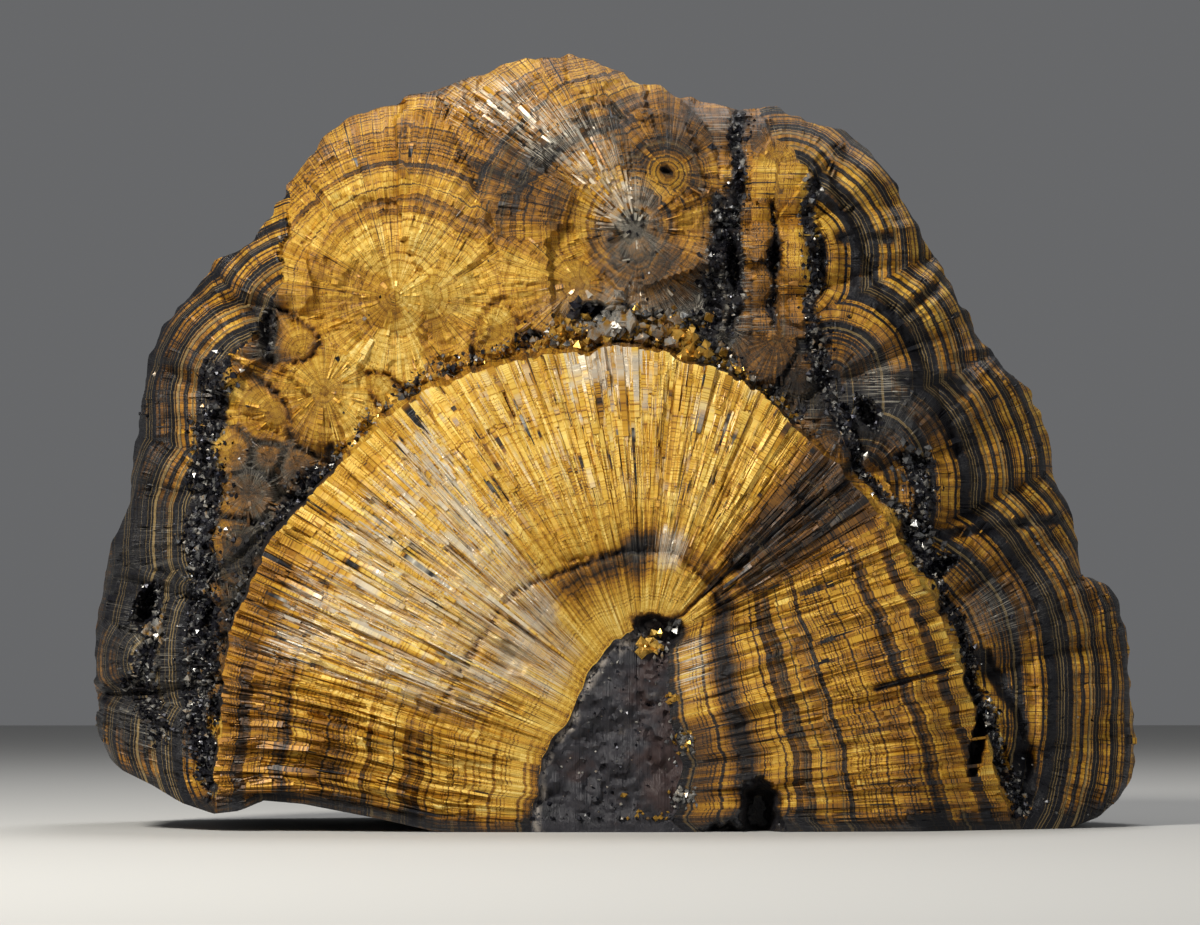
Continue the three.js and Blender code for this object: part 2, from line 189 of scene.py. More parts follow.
# Hollows, as (x, z, half width, half height, depth, turn in degrees).
HOLLOWS = [
    (-140, 66, 6, 11, 15, 15), (-121, 62, 4, 8, 10, 0), (-104, 147, 3.5, 11, 7, 0),
    (-7, 151, 9, 4, 10, 8), (11, 148, 5, 3.5, 8, 20), (33, 167, 3.5, 16, 12, -4),
    (26, 147, 4, 5, 9, 0), (45, 168, 3, 9, 9, 5), (13, 193, 4, 2, 2.5, 30),
    (72, 122, 5, 9, 9, -35), (86, 108, 11, 3, 9, 8),
    (93, 77, 9, 4, 10, -20), (104, 26, 3, 16, 9, 10), (11, 58, 12, 6.5, 9, 15),
    (40, 5, 8, 14, 15, -8), (30, -1, 12, 6, 8, 0), (-26, 144, 6, 2.5, 5, -10),
]
HOLLOW_REACH = 10.0
HOLLOW_FLOOR = 0.35

# Cracks of the face, as lines of (x, z), with their depth and width.
CRACKS = [
    ([(65, 101), (52, 93), (37, 80), (24, 69), (10, 56)], 1.7, 0.8),
    ([(0, 81), (-27, 71), (-35, 65), (-54, 34)], 1.5, 0.9),
    ([(-17, 78), (0, 81), (14, 81), (23, 74), (29, 65)], 1.2, 0.9),
    ([(-35, 129), (-31, 120)], 1.8, 1.0),
    ([(-52, 107), (-47, 106)], 1.6, 1.0),
    ([(-50, 81), (-44, 81)], 1.6, 1.0),
    ([(11, 112), (17, 107)], 1.6, 0.9),
    ([(22, 122), (27, 117)], 1.6, 0.9),
    ([(22, 104), (36, 94)], 1.3, 0.8),
    ([(73, 41), (95, 47)], 1.8, 1.0),
    ([(-17, 207), (-11, 210), (1, 200)], 1.2, 0.7),
    ([(-46, 218), (-46, 213), (-43, 205)], 1.4, 0.8),
    ([(62, 195), (69, 177), (81, 149), (92, 134), (99, 110)], 2.0, 1.4),
    ([(65, 174), (80, 174)], 2.4, 2.0),
    ([(81, 149), (93, 160)], 2.4, 1.8),
    ([(83, 132), (101, 130)], 3.0, 2.4),
    ([(92, 86), (132, 92)], 2.4, 1.8),
    ([(106, 51), (118, 33), (120, 9)], 3.4, 2.2),
]

# How many broken fibre bundles lie over each other, as (width, length, height) of a layer.
BUNDLES = [(5.4, 36, 0.8), (2.1, 18, 0.55), (1.0, 9, 0.3)]
BUNDLE_TILT = 0.9
BUNDLE_WANDER = 0.4
BUNDLE_STAGGER = 9

# Mesh density
LINES = 768
OUTLINE_POINTS = 512
FOOT_POINTS = 120
LEAST_INSIDE = 0.5
FAN_SPACING = 1.15
RIM_SPACING = 1.1
FAN_ACROSS_LEAST = 0.42
RIM_ACROSS_LEAST = 0.8
CORE_SPACING = 1.0
CORE_ACROSS_LEAST = 0.9
CORE_EDGE_POINTS = 256
# Steps and lines that the spacing of the outline, the rings and the way to the pole is measured by.
OUTLINE_STEPS = 20001
RING_STEPS = 1201
POLE_STEPS = 801
POLE_LINES = 30
BACK_SPACING = 2.3
UNDER_SPACING = 3.5
LEAST_RING = 12
# The foot takes up this many stations of the rings behind the outline.
UNDER_SPAN = 4.0

# The three zones of the face. In each, a share runs from 0 at its inner line to 1 at its outer one.
CORE_ZONE, FAN_ZONE, RIM_ZONE = 0, 1, 2
# How far the fan's fibres grow from the core to its edge, how far apart they are from station to
# station, and how ragged they are at each station.
FAN_GROWTH = 90.0
STATION_WIDTH = 16.3
FAN_RAGGED = [(0, 0.8), (5, 0.8), (7, 1.1), (9, 0.6), (14, 0.6), (17, 1.1), (21, 1.5), (24, 1.2)]
FAN_BREAKAGE = 1.3
# Where the fan has a step down to the face above it, as the stations that it begins and ends over.
STEP_BEGINS = (7.5, 9.5)
STEP_ENDS = (16, 18.5)

# Relief of the face round the fan, with a value for the banded sides and one for the rest.
SIDE_BREAKAGE, INNER_BREAKAGE = 0.35, 0.6
SIDE_TERRACES, INNER_TERRACES = 0.9, 0.4
TERRACE_SIZE = 2.3
# How far from their nucleus the fibres begin to be broken, and are so in full.
NUCLEUS_CALM = (2, 14)
FACET_RELIEF = 2.4
FACET_SIZE = 21
SEAM_CRYSTALS = 1.6
STRIP_CRYSTALS = 2.2
CRYSTAL_SIZE = 2.8
WRINKLE_DEPTH = 1.5
WRINKLES_FROM = (20, 55)
WRINKLE_SIZES = (6.5, 2.8)
# How far the growth bands jump from facet to facet, and how large those facets are.
BAND_JUMP = 2.6
BAND_JUMP_SIZE = 23
# Small pits and lumps of the core.
PIT_SIZE = 2.6
PIT_DEPTH = 2.4
LUMP_SIZE = 1.3
LUMP_HEIGHT = 0.45

# How far lines stray from their smooth course, as layers of (size, distance).
BORDER_WANDER = [(5, 1.6), (2, 0.8)]
SEAM_WANDER = [(7, 2.2)]
CRACK_WANDER = [(3, 0.8)]
HOLLOW_WANDER = [(2.2, 0.12)]

# What the repeatable unevenness comes from.
SCATTER_STEPS = (127.1, 311.7)
SCATTER_SCALE = 43758.5453
# How far the middles of facets and small lobes stray, and how tilted facets are.
FACET_JITTER = 0.45
DOME_JITTER = 0.4
FACET_TILT = 1.1
FACET_LIMIT = 1.3
# Lobes on the back's lobes, as (size, seed), with their heights.
SMALL_LOBES, SMALL_LOBE_HEIGHT = (15, 3), 2.4
TINY_LOBES, TINY_LOBE_HEIGHT = (6.5, 8), 0.9
LOBE_MIDDLE = 0.6

# Looks of places on the fan, as (station from, to, share from, to, dark, painted sheen). The painted sheen
# is a painted highlight.
FAN_PATCHES = [
    (6.2, 7.9, 0.34, 1.1, 0.74, 0.0), (0, 6.0, 0.0, 0.04, 0.35, 0.0),
    (0, 5.0, 0.48, 0.53, 0.4, 0.0), (0, 4.5, 0.7, 0.74, 0.45, 0.0), (0, 4.5, 0.86, 0.89, 0.3, 0.0),
    (0, 6.0, 0.0, 1.1, 0.14, 0.0), (21, 24, 0.58, 0.72, 0.4, 0.0), (18.5, 24, 0.8, 1.1, 0.35, 0.0),
    (12.2, 15.5, 0.14, 0.26, 0.2, 0.0), (11, 12.2, 0.16, 0.34, 0.5, 0.2),
    (9.6, 10.8, 0.2, 0.36, 0.0, 0.9), (15.5, 20.5, 0.2, 0.9, 0.0, 0.65),
    (11.4, 12.7, 0.84, 1.1, 0.1, 0.7), (9, 16, 0.45, 1.1, 0.0, 0.25),
    (16, 19, 0.05, 0.25, 0.1, 0.6), (4.2, 5.4, 0.04, 0.16, 0.0, 0.5),
    (1.2, 3.6, 0.02, 0.13, 0.45, 0.0),
]
# A dark band of the fan that goes round the core, as (station, share, dark).
CORE_BAND = [
    (0, 0.26, 0.7), (2, 0.21, 0.8), (5, 0.21, 0.8), (7, 0.26, 0.6), (9, 0.29, 0.4), (11, 0.3, 0.5),
    (13, 0.24, 0.55), (15, 0.24, 0.35), (17, 0.28, 0.15), (24, 0.3, 0.0),
]
CORE_BAND_WIDTH = 0.045
# Looks of places round the fan, as (x, z, half width, half height, dark, painted sheen).
FACE_SPOTS = [
    (-34, 194, 13, 11, 0.4, 0.0), (-20, 183, 7, 9, 0.5, 0.0), (-22, 197, 6, 5, 0.4, 0.2),
    (5, 171, 12, 9, 0.3, 0.25), (0, 150, 19, 9, 0.5, 0.6), (40, 160, 18, 30, 0.25, 0.0),
    (30, 160, 6, 24, 0.6, 0.4), (110, 64, 16, 12, 0.4, 0.3), (86, 122, 14, 12, 0.6, 0.12),
    (76, 133, 8, 8, 0.0, 0.3), (-104, 147, 5, 13, 0.9, 0.2), (-96, 104, 12, 14, 0.5, 0.2),
    (-40, 216, 12, 8, 0.0, 0.6), (-22, 207, 12, 8, 0.0, 0.5), (-8, 196, 7, 9, 0.0, 0.6),
    (1, 184, 7, 8, 0.0, 0.7), (132, 60, 12, 30, 0.3, 0.0), (-145, 120, 14, 60, 0.62, 0.0),
    (-139, 44, 15, 30, 0.7, 0.2), (-140, 58, 5, 8, 0.0, 0.3), (52, 128, 20, 15, 0.45, 0.08),
    (70, 116, 10, 14, 0.5, 0.1), (-112, 100, 8, 30, 0.25, 0.1), (-104, 86, 8, 12, 0.15, 0.0),
    (-110, 70, 6, 10, 0.2, 0.0), (110, 10, 26, 14, 0.3, 0.0), (30, 208, 34, 9, 0.5, 0.1),
    (-112, 60, 7, 16, 0.6, 0.1), (-100, 84, 10, 8, 0.5, 0.2), (-108, 104, 7, 9, 0.4, 0.1),
    (-140, 24, 16, 16, 0.5, 0.1), (-140, 84, 13, 18, 0.45, 0.1), (-128, 140, 12, 16, 0.2, 0.0),
    (24, 150, 14, 14, 0.5, 0.1), (58, 126, 12, 12, 0.35, 0.0), (47, 150, 8, 16, 0.35, 0.0),
]
# Places inside the face where the growth bands show as plain dark rings, as (x, z, radius, share).
RINGED = [(5, 170, 13, 0.2), (13.8, 192.3, 12, 0.45), (-107, 78, 14, 0.3)]
# Dark rings round the two nuclei high up, as (x, z, radius, width, dark).
RINGS = [
    (5, 171, 4.5, 1.3, 0.45), (5, 171, 8.5, 1.2, 0.4), (4, 172, 12.5, 1.3, 0.35),
    (13.8, 192.3, 8.5, 1.2, 0.32), (13.8, 192.3, 11.5, 1, 0.25), (13.8, 192.3, 1, 1.5, 0.3),
]
# How soft the patches of the fan are, in stations and in shares.
PATCH_SOFT = (0.4, 0.045)
# Darkness and painted sheen of the banded sides and of the rest round the fan, which is darker high up.
SIDE_DARK, INNER_DARK, HIGH_DARK = 0.2, 0.03, 0.15
HIGH_FROM = (165, 200)
SIDE_SHEEN, INNER_SHEEN = 0.03, 0.12
STRIP_DARK = 0.1
FACET_DARK = 0.12
FACET_DARK_SIZE = 24
# Painted shade in the colour: in the hollows, in the shadow round them, in the cracks and near the foot.
# Darkness of the gaps where fibres meet.
HOLLOW_SHADE = 0.7
SHADOW_DARK = 0.3
CRACK_DARK = 0.8
GAP_DARK = 0.8
FOOT_SHADE = 0.8
FOOT_SHADE_HEIGHT = (1, 8)
# How crystalline the hollows are.
HOLLOW_SEAM = 0.8
# The pale rind of the core, by station and share.
RIND_BEGINS = (8, 12)
RIND_SHARE = (0.9, 0.98)
# How much the fan shows dark bands at each station.
FAN_BANDING = [(0, 0.42), (5.5, 0.42), (6.5, 0.15), (12, 0), (19, 0), (21.5, 0.36), (24, 0.36)]

# Splinters of the fan and of the rest of the face, each layer as (count, seed, greatest length,
# greatest width, how proud, contrast of colour, and whether it is only in the belt of painted sheen).
FAN_SPLINTERS = [
    (500, 41, 42, 3.2, 0.9, 0.1), (1500, 42, 26, 1.5, 0.7, 0.2), (2600, 43, 14, 0.7, 0.6, 0.3),
]
RIM_SPLINTERS = [
    (300, 51, 8, 2.2, 0.8, 0.1), (900, 52, 6, 1.2, 0.6, 0.15), (2000, 53, 5, 0.6, 0.5, 0.2),
    (9000, 54, 13, 1.6, 1.5, 0.3, True),
]
# The belt of splinters high on the face, where the face has painted sheen, as a line of (x, z) and its half
# width.
SHEEN_BELT = [(1, 182), (-10, 198), (-24, 209), (-46, 219)]
SHEEN_BELT_WIDTH = 8.0
# Out of the broken face.
OUTWARD = np.array([0.0, -1.0, 0.1])
SPLINTER_SUNK = 1.2
SPLINTER_TAPER = 0.8
PRISM_FACES = np.array([
    (0, 2, 1), (0, 3, 2), (4, 5, 6), (4, 6, 7), (0, 1, 5), (0, 5, 4),
    (1, 2, 6), (1, 6, 5), (2, 3, 7), (2, 7, 6), (3, 0, 4), (3, 4, 7),
])
# Nothing small sits lower than this.
LEAST_HEIGHT = 3
LEAST_GRAIN_HEIGHT = 4

# Clusters of larger crystals, as (x, z, spread, how many, size, tint).
CLUSTERS = [
    (8, 54, 3.5, 20, 1.5, 0.98), (9, 53, 4.0, 12, 1.2, 0.69), (15, 60, 3.0, 8, 1.2, 0.6),
    (15, 38, 3.0, 14, 0.9, 0.85), (18, 26, 4, 30, 0.8, 0.6), (19, 26, 4, 14, 0.9, 0.85),
    (18, 10, 4, 26, 0.9, 0.6), (8, 6, 8, 14, 0.9, 0.84), (-137, 58, 4.0, 14, 1.6, 0.66),
    (-3, 149, 8.0, 30, 2.5, 0.66), (12, 147, 7.0, 24, 2.2, 0.68), (-12, 152, 5.0, 12, 1.6, 0.4),
    (20, 143, 8.0, 18, 2.1, 0.88), (-14, 146, 7.0, 12, 1.8, 0.88),
    (84, 108, 7.0, 14, 1.4, 0.5), (90, 84, 5.0, 10, 1.2, 0.5),
]
CLUSTER_SEED = 60
CLUSTER_SUNK = 4.5
FACE_GRAINS = 12000
CORE_GRAINS = 500
# Places tried for each small crystal of the face, and the chance of one outside the dark places.
GRAIN_TRIES = 16
STRAY_GRAINS = 0.001
FULL_TURN = 6.283
OCTAHEDRON = np.array([(1, 0, 0), (-1, 0, 0), (0, 1, 0), (0, -1, 0), (0, 0, 1), (0, 0, -1)], float)
OCTAHEDRON_FACES = np.array([
    (0, 2, 4), (2, 1, 4), (1, 3, 4), (3, 0, 4), (2, 0, 5), (1, 2, 5), (3, 1, 5), (0, 3, 5),
])

# Edges sharper than these angles, in degrees, aren't smoothed.
STONE_SHARP = 34
SPLINTER_SHARP = 20
CRYSTAL_SHARP = 1

# Streaks along the fibres, as (how often across, how often along, roughness).
FIBRES = (2.6, 0.04, 0.7)
BROAD_STREAKS = (0.45, 0.015, 0.6)
DASHES = (0.7, 0.07, 0.6)
GAPS = (1.0, 0.025, 0.75)
GLINTS = (3.2, 0.06, 0.65)
# Bands that follow the growth, as (how often, detail, roughness).
HATCH = (1.7, 1, 0.5)
THIN_LINES = (0.75, 2, 0.7)
BLACK_BANDS = (0.2, 4, 0.62)
# Rare thin lines that follow the growth, as (shift, how often, outer width, inner width).
DARK_RINGS = (70, 0.085, 0.018, 0.006)
PALE_LINES = (300, 0.22, 0.008, 0.003)
# Noise of the core and the skin, as (how often, detail, roughness).
DUST = (38, 5, 0.65)
PORES = (110, 6, 0.8)

# Colours, and ramps of colours as (place, colour).
GOLDEN_MIDDLE = 0.80
GOLDEN = [
    (0.0, (0.005, 0.005, 0.008)), (0.2, (0.017, 0.013, 0.010)), (0.38, (0.10, 0.042, 0.008)),
    (0.56, (0.35, 0.148, 0.010)), (0.74, (0.62, 0.345, 0.030)), (0.9, (0.84, 0.600, 0.140)),
    (1.0, (0.92, 0.76, 0.32)),
]
PALE_GOLD = (0.56, 0.38, 0.14)
# The painted highlight of the glints.
GLINT_HIGHLIGHT = (0.74, 0.68, 0.56)
SOOT = [(0.3, (0.004, 0.004, 0.006)), (0.55, (0.018, 0.016, 0.018)), (0.72, (0.07, 0.05, 0.03))]
CLINKER = [
    (0.32, (0.006, 0.006, 0.008)), (0.45, (0.020, 0.019, 0.024)), (0.58, (0.036, 0.034, 0.040)),
    (0.70, (0.085, 0.070, 0.060)),
]
RUST = (0.050, 0.026, 0.022)
RIND = (0.32, 0.28, 0.24)
BARK = [
    (0.34, (0.006, 0.005, 0.006)), (0.50, (0.022, 0.013, 0.008)), (0.64, (0.085, 0.038, 0.011)),
    (0.80, (0.24, 0.125, 0.035)),
]
CRYSTAL_COLORS = [
    (0.2, (0.005, 0.005, 0.008)), (0.50, (0.022, 0.022, 0.030)), (0.62, (0.12, 0.12, 0.12)),
    (0.70, (0.42, 0.40, 0.36)), (0.77, (0.30, 0.15, 0.02)), (1.0, (0.66, 0.40, 0.08)),
]
SHINE = 0.4
# How strong each bump is, and how deep in metres.
STONE_BUMP, STONE_BUMP_DEPTH = 0.7, 0.0008
CRYSTAL_BUMP, CRYSTAL_BUMP_DEPTH = 0.4, 0.0004

# The lights, as (name, place, size, power, colour), the room, the floor and the camera, in metres.
LIGHTS = [
    ("key", (-0.44, -0.56, 0.62), 0.22, 8.5, (1.0, 0.97, 0.90)),
    ("fill", (0.9, -1.2, 0.5), 0.7, 3, (0.92, 0.96, 1.0)),
    ("top", (0.15, 0.35, 1.1), 0.4, 5, (1, 1, 1)),
]
LIGHT_TARGET = (0, 0, 0.11)
ROOM_COLOR = (0.62, 0.63, 0.65)
ROOM_STRENGTH = 0.22
FLOOR_SIZE = 6
FLOOR_COLOR = (0.52, 0.515, 0.50)
FLOOR_ROUGHNESS = 0.8
CAMERA_PLACE = (-0.025, -1.31, 0.043)
CAMERA_TARGET = (-0.0063, -0.06, 0.1069)
CAMERA_LENS = 129
CAMERA_SENSOR = 36


# Helpers


def between(table, place):
    """The values of a table at a place, which each row begins with."""
    rows = np.array(table, float)
    return [np.interp(place, rows[:, 0], rows[:, k]) for k in range(1, rows.shape[1])]


def value_at(table, place):
    """The one value of a table at a place."""
    return between(table, place)[0]


def hump(value):
    """1 at zero, falling off softly to both sides."""
    return np.exp(-(value**2))


def scatter(i, j):
    """A repeatable number from -1 to 1 for a pair of numbers."""
    wave = np.sin(i * SCATTER_STEPS[0] + j * SCATTER_STEPS[1]) * SCATTER_SCALE
    return 2 * (wave - np.floor(wave)) - 1


def smoothstep(value, low, high):
    """0 below low and 1 above high, with a smooth way between them."""
    share = np.clip((value - low) / (high - low), 0, 1)
    return share * share * (3 - 2 * share)


def smootherstep(share):
    """A smooth way from 0 to 1 that starts and ends level."""
    return share**3 * (share * (6 * share - 15) + 10)


def uneven(x, z, size):
    """Smooth repeatable unevenness from -1 to 1, with bumps about a size across."""
    column = np.floor(x / size)
    row = np.floor(z / size)
    u = smootherstep(x / size - column)
    v = smootherstep(z / size - row)
    low = scatter(column, row) * (1 - u) + scatter(column + 1, row) * u
    high = scatter(column, row + 1) * (1 - u) + scatter(column + 1, row + 1) * u
    return low * (1 - v) + high * v


def roughness(x, z, layers):
    """Unevenness in layers, each with its size and its height."""
    return sum(height * uneven(x, z, size) for size, height in layers)


def crystals(x, z, size, seed):
    """Flat facets from -1 to 1, each about a size across and tilted its own way."""
    column = np.floor(x / size)
    row = np.floor(z / size)
    nearest = np.full(np.shape(x), np.inf)
    facet = np.zeros(np.shape(x))
    for i in (-1, 0, 1):
        for j in (-1, 0, 1):
            a = column + i
            b = row + j
            dx = x / size - (a + 0.5 + FACET_JITTER * scatter(a + seed, b))
            dz = z / size - (b + 0.5 + FACET_JITTER * scatter(a, b + seed))
            away = dx * dx + dz * dz
            tilt_x = FACET_TILT * dx * scatter(a + 3, b)
            tilt_z = FACET_TILT * dz * scatter(a, b + 5)
            tilted = scatter(b, a + seed) + tilt_x + tilt_z
            closer = away < nearest
            nearest = np.where(closer, away, nearest)
            facet = np.where(closer, tilted, facet)
    return np.clip(facet, -FACET_LIMIT, FACET_LIMIT)


def to_lines(x, z, lines):
    """The distance from each point to the nearest of the lines."""
    least = np.full(np.shape(x), np.inf)
    for line in lines:
        for (ax, az), (bx, bz) in zip(line, line[1:]):
            dx = bx - ax
            dz = bz - az
            share = np.clip(((x - ax) * dx + (z - az) * dz) / (dx * dx + dz * dz), 0, 1)
            least = np.minimum(least, np.hypot(x - ax - share * dx, z - az - share * dz))
    return least


# The relief of the face


def face_plane(x, z):
    """The broken face as one smooth surface, before its relief."""
    bow = FACE_BOW * (x / FACE_BOW_REACH) ** 2
    left = LEFT_TURN_SLOPE * np.maximum(0, LEFT_TURN_FROM - x)
    right = RIGHT_TURN_SLOPE * np.maximum(0, x - RIGHT_TURN_FROM)
    top = TOP_TURN_SLOPE * np.maximum(0, z - TOP_TURN_FROM)
    return FACE_Y + FACE_LEAN * z + bow + left + right + top


def side_valley(x, z):
    """Valleys between the banded lobes, deepest where two lobes meet."""
    away = np.sort([np.hypot(x - nx, z - nz) for nx, nz in VALLEY_MIDDLES], axis=0)
    fade = 1 - smoothstep(away[0], 0.7 * VALLEY_REACH, VALLEY_REACH)
    return fade * VALLEY_DEPTH * np.exp(-(away[1] - away[0]) / VALLEY_WIDTH)


def first_fibres(x, z):
    """Which nucleus's fibres reach each place first, and how much later the next ones would."""
    wander = roughness(x, z, BORDER_WANDER)
    left = x + wander < value_at(LEFT_BORDER, z)
    right = x + wander > value_at(RIGHT_BORDER, z)
    best = np.full(np.shape(x), np.inf)
    second = best
    nucleus = np.zeros(np.shape(x), int)
    for k, (nx, nz, start, half) in enumerate(NUCLEI):
        growth = np.hypot(x - nx, z - np.clip(z, nz - half, nz + half)) + start
        group = left if FIRST_LEFT <= k < FIRST_RIGHT else right if k >= FIRST_RIGHT else ~left & ~right
        first = group & (growth < best)
        second = np.where(first, best, np.where(group, np.minimum(second, growth), second))
        best = np.where(first, growth, best)
        nucleus = np.where(first, k, nucleus)
    return nucleus, second - best


def nucleus_of(x, z):
    """Which nucleus's fibres reach each place first."""
    return first_fibres(x, z)[0]


def meeting(x, z):
    """How much a place lies in the gap where the fibres of two nuclei meet."""
    nucleus, later = first_fibres(x, z)
    start = NUCLEI[nucleus, 2]
    late = smoothstep(start, *LATE_STARTS)
    strength = np.where(on_side(nucleus), SIDE_GAPS, EARLY_GAPS + (1 - EARLY_GAPS) * late)
    return strength * hump(later / MEETING_WIDTH)


def growth_from(x, z, nucleus):
    """How late a nucleus's fibres reach a place, and the place round it, both in millimetres."""
    nx, nz, start, half = np.moveaxis(NUCLEI[nucleus], -1, 0)
    level = np.clip(z, nz - half, nz + half)
    radius = np.maximum(LEAST_RADIUS, NUCLEI_REACH - start)
    across = np.arctan2(z - level, x - nx) * radius + level - nz + NUCLEUS_SHIFT * nucleus
    return np.hypot(x - nx, z - level) + start, across


def facet_shift(x, z):
    """How far the growth bands jump between the broken facets of the upper face."""
    return BAND_JUMP * crystals(x, z, BAND_JUMP_SIZE, 6)


def on_side(nucleus):
    """Whether a nucleus belongs to the banded sides."""
    return nucleus >= FIRST_LEFT


def bundle_cell(across, along, width, length, seed):
    """The fibre bundle at a place, and where in it the place lies, from -0.5 to 0.5 each way."""
    column_at = across / width + BUNDLE_WANDER * uneven(across / width, seed * 7.3, 1)
    column = np.floor(column_at)
    row_at = along / length + BUNDLE_STAGGER * scatter(column, seed)
    row = np.floor(row_at)
    return column, row, column_at - column - 0.5, row_at - row - 0.5


def bundles(across, along):
    """Height of the broken fibre bundles at a place, in millimetres out of the face."""
    height = 0
    for seed, (width, length, rise) in enumerate(BUNDLES, 1):
        column, row, side, end = bundle_cell(across, along, width, length, seed)
        tilt = side * scatter(column, row + 50) + end * scatter(row, column + 70)
        height = height + rise * (scatter(column + seed, row) + BUNDLE_TILT * tilt)
    return height


def hollow_depth(x, z):
    """How deep the hollows reach at a point, and below zero away from them."""
    deepest = np.full(np.shape(x), -HOLLOW_REACH)
    for hx, hz, half_width, half_height, depth, turn in HOLLOWS:
        angle = np.radians(turn)
        dx = x - hx
        dz = z - hz
        u = (dx * np.cos(angle) - dz * np.sin(angle)) / half_width
        v = (dx * np.sin(angle) + dz * np.cos(angle)) / half_height
        radius = np.hypot(u, v) + roughness(x, z, HOLLOW_WANDER)
        wall = (1 - radius) / (1 - HOLLOW_FLOOR) * (depth + HOLLOW_REACH) - HOLLOW_REACH
        deepest = np.maximum(deepest, np.minimum(depth, wall))
    return deepest


def crack_depth(x, z):
    """How deep the cracks are at a place."""
    depth = np.zeros(np.shape(x))
    strayed = x + roughness(x, z, CRACK_WANDER)
    for line, deep, width in CRACKS:
        depth = np.maximum(depth, deep * hump(to_lines(strayed, z, [line]) / width))
    return depth


def over_the_fan(station):
    """1 along the upper edge of the fan, 0 beside it."""
    return smoothstep(station, *STEP_BEGINS) * (1 - smoothstep(station, *STEP_ENDS))


def granular(share, station):
    """How much a place lies in the strip of small crystals along the upper edge of the fan."""
    over_top = over_the_fan(station)
    reach = value_at(STRIP_REACH, station) + STRIP_RAGGED * uneven(3 * station, 9 * share, 1)
    return over_top * (1 - smoothstep(share - reach, *STRIP_FADE))


def seam_lines(x, z):
    """1 along the middle of a seam, falling off to its sides."""
    share = np.zeros(np.shape(x))
    for line, width in SEAMS:
        share = np.maximum(share, hump(to_lines(x, z, [line]) / width))
    return share


def seam_share(x, z):
    """The same for seams that wander a little."""
    return seam_lines(x + roughness(x, z, SEAM_WANDER), z)


def fan_relief(station, share):
    """How far back the fan lies: it stands proud, in broken bundles."""
    rise = value_at(FAN_PROUD, station) * smoothstep(share, 0, 0.5)
    breakage = FAN_BREAKAGE * value_at(FAN_RAGGED, station)
    broken = breakage * bundles(station * STATION_WIDTH, share * FAN_GROWTH)
    return -broken * smoothstep(share, 0, 0.25) - rise


def rim_relief(x, z, station, share):
    """How far back the face round the fan lies: bundles, terraces, facets, seams and valleys."""
    nucleus = nucleus_of(x, z)
    growth, across = growth_from(x, z, nucleus)
    off_nucleus = smoothstep(growth - NUCLEI[nucleus, 2], *NUCLEUS_CALM)
    foot = FAN_FOOT_STEP * (1 - smoothstep(share, 0, FAN_FOOT_REACH)) * over_the_fan(station)
    seam = seam_share(x, z)
    side = on_side(nucleus)
    broken = np.where(side, SIDE_BREAKAGE, INNER_BREAKAGE) * off_nucleus * bundles(across, growth)
    terraces = np.where(side, SIDE_TERRACES, INNER_TERRACES)
    terraces = terraces * uneven(growth, 0.5 * nucleus, TERRACE_SIZE)
    wrinkles = np.where(side, 1.0, 0.0) * wrinkle(across, growth)
    facets = FACET_RELIEF * np.where(side, 0, 1) * crystals(x, z, FACET_SIZE, 4)
    strip_share = granular(share, station)
    broken = broken * (1 - 0.8 * np.maximum(strip_share, seam))
    sharp = SEAM_CRYSTALS * seam + STRIP_CRYSTALS * strip_share
    sharp = sharp * crystals(x, z, CRYSTAL_SIZE, 11)
    relief = foot + SEAM_DEPTH * seam + side_valley(x, z) + roughness(x, z, RIM_UNEVEN)
    relief = relief + MEETING_DEPTH * meeting(x, z)
    return relief - broken - terraces - facets - sharp + wrinkles


def wrinkle(across, growth):
    """Grooves that run out to the edge of the banded sides, 1 at their deepest."""
    broad, fine = WRINKLE_SIZES
    wave = uneven(across, 0.05 * growth, broad) + 0.6 * uneven(across, 0.08 * growth, fine)
    return WRINKLE_DEPTH * smoothstep(growth, *WRINKLES_FROM) * smoothstep(wave, 0.1, 1.0)


def core_pits(x, z):
    """Small pits and lumps of the porous core."""
    pits = np.maximum(0, uneven(x, z, PIT_SIZE) - 0.25) * PIT_DEPTH
    return pits + LUMP_HEIGHT * uneven(x + 50, z, LUMP_SIZE)


def rim_drop(share):
    """How far the face rounds back towards its outline."""
    over = np.maximum(0, share - RIM_FROM) / (1 - RIM_FROM)
    return RIM_DROP * over**2


# The face as a mesh


def ragged_line(station, layers):
    """How far a ragged line strays outward at each station. It keeps its two feet."""
    stray = 0
    for size, height in layers:
        stray = stray + height * uneven(station * STATION_WIDTH, 0.37 * size, size)
    off_right = smoothstep(station, 0, 0.6)
    return stray * off_right * (1 - smoothstep(station, LAST_STATION - 0.6, LAST_STATION))


def moved_out(middle, place, distance):
    """A place moved away from the middle."""
    dx, dz = place[0] - middle[0], place[1] - middle[1]
    length = np.hypot(dx, dz)
    return place[0] + dx / length * distance, place[1] + dz / length * distance


def front_place(zone, station, share):
    """Where a place of the face lies across and up."""
    core = between(CORE, station)
    edge = between(FAN_EDGE, station)
    outline = between(OUTLINE, station)
    core_stray = value_at(CORE_RAGGEDNESS, station) * ragged_line(station, CORE_RAGGED)
    core = moved_out(FOOT, core, core_stray)
    edge = moved_out(FOOT, edge, ragged_line(station, EDGE_RAGGED))
    starts = [FOOT, core, edge]
    ends = [core, edge, outline]
    x = np.choose(zone, [a[0] + (b[0] - a[0]) * share for a, b in zip(starts, ends)])
    z = np.choose(zone, [a[1] + (b[1] - a[1]) * share for a, b in zip(starts, ends)])
    return x, z


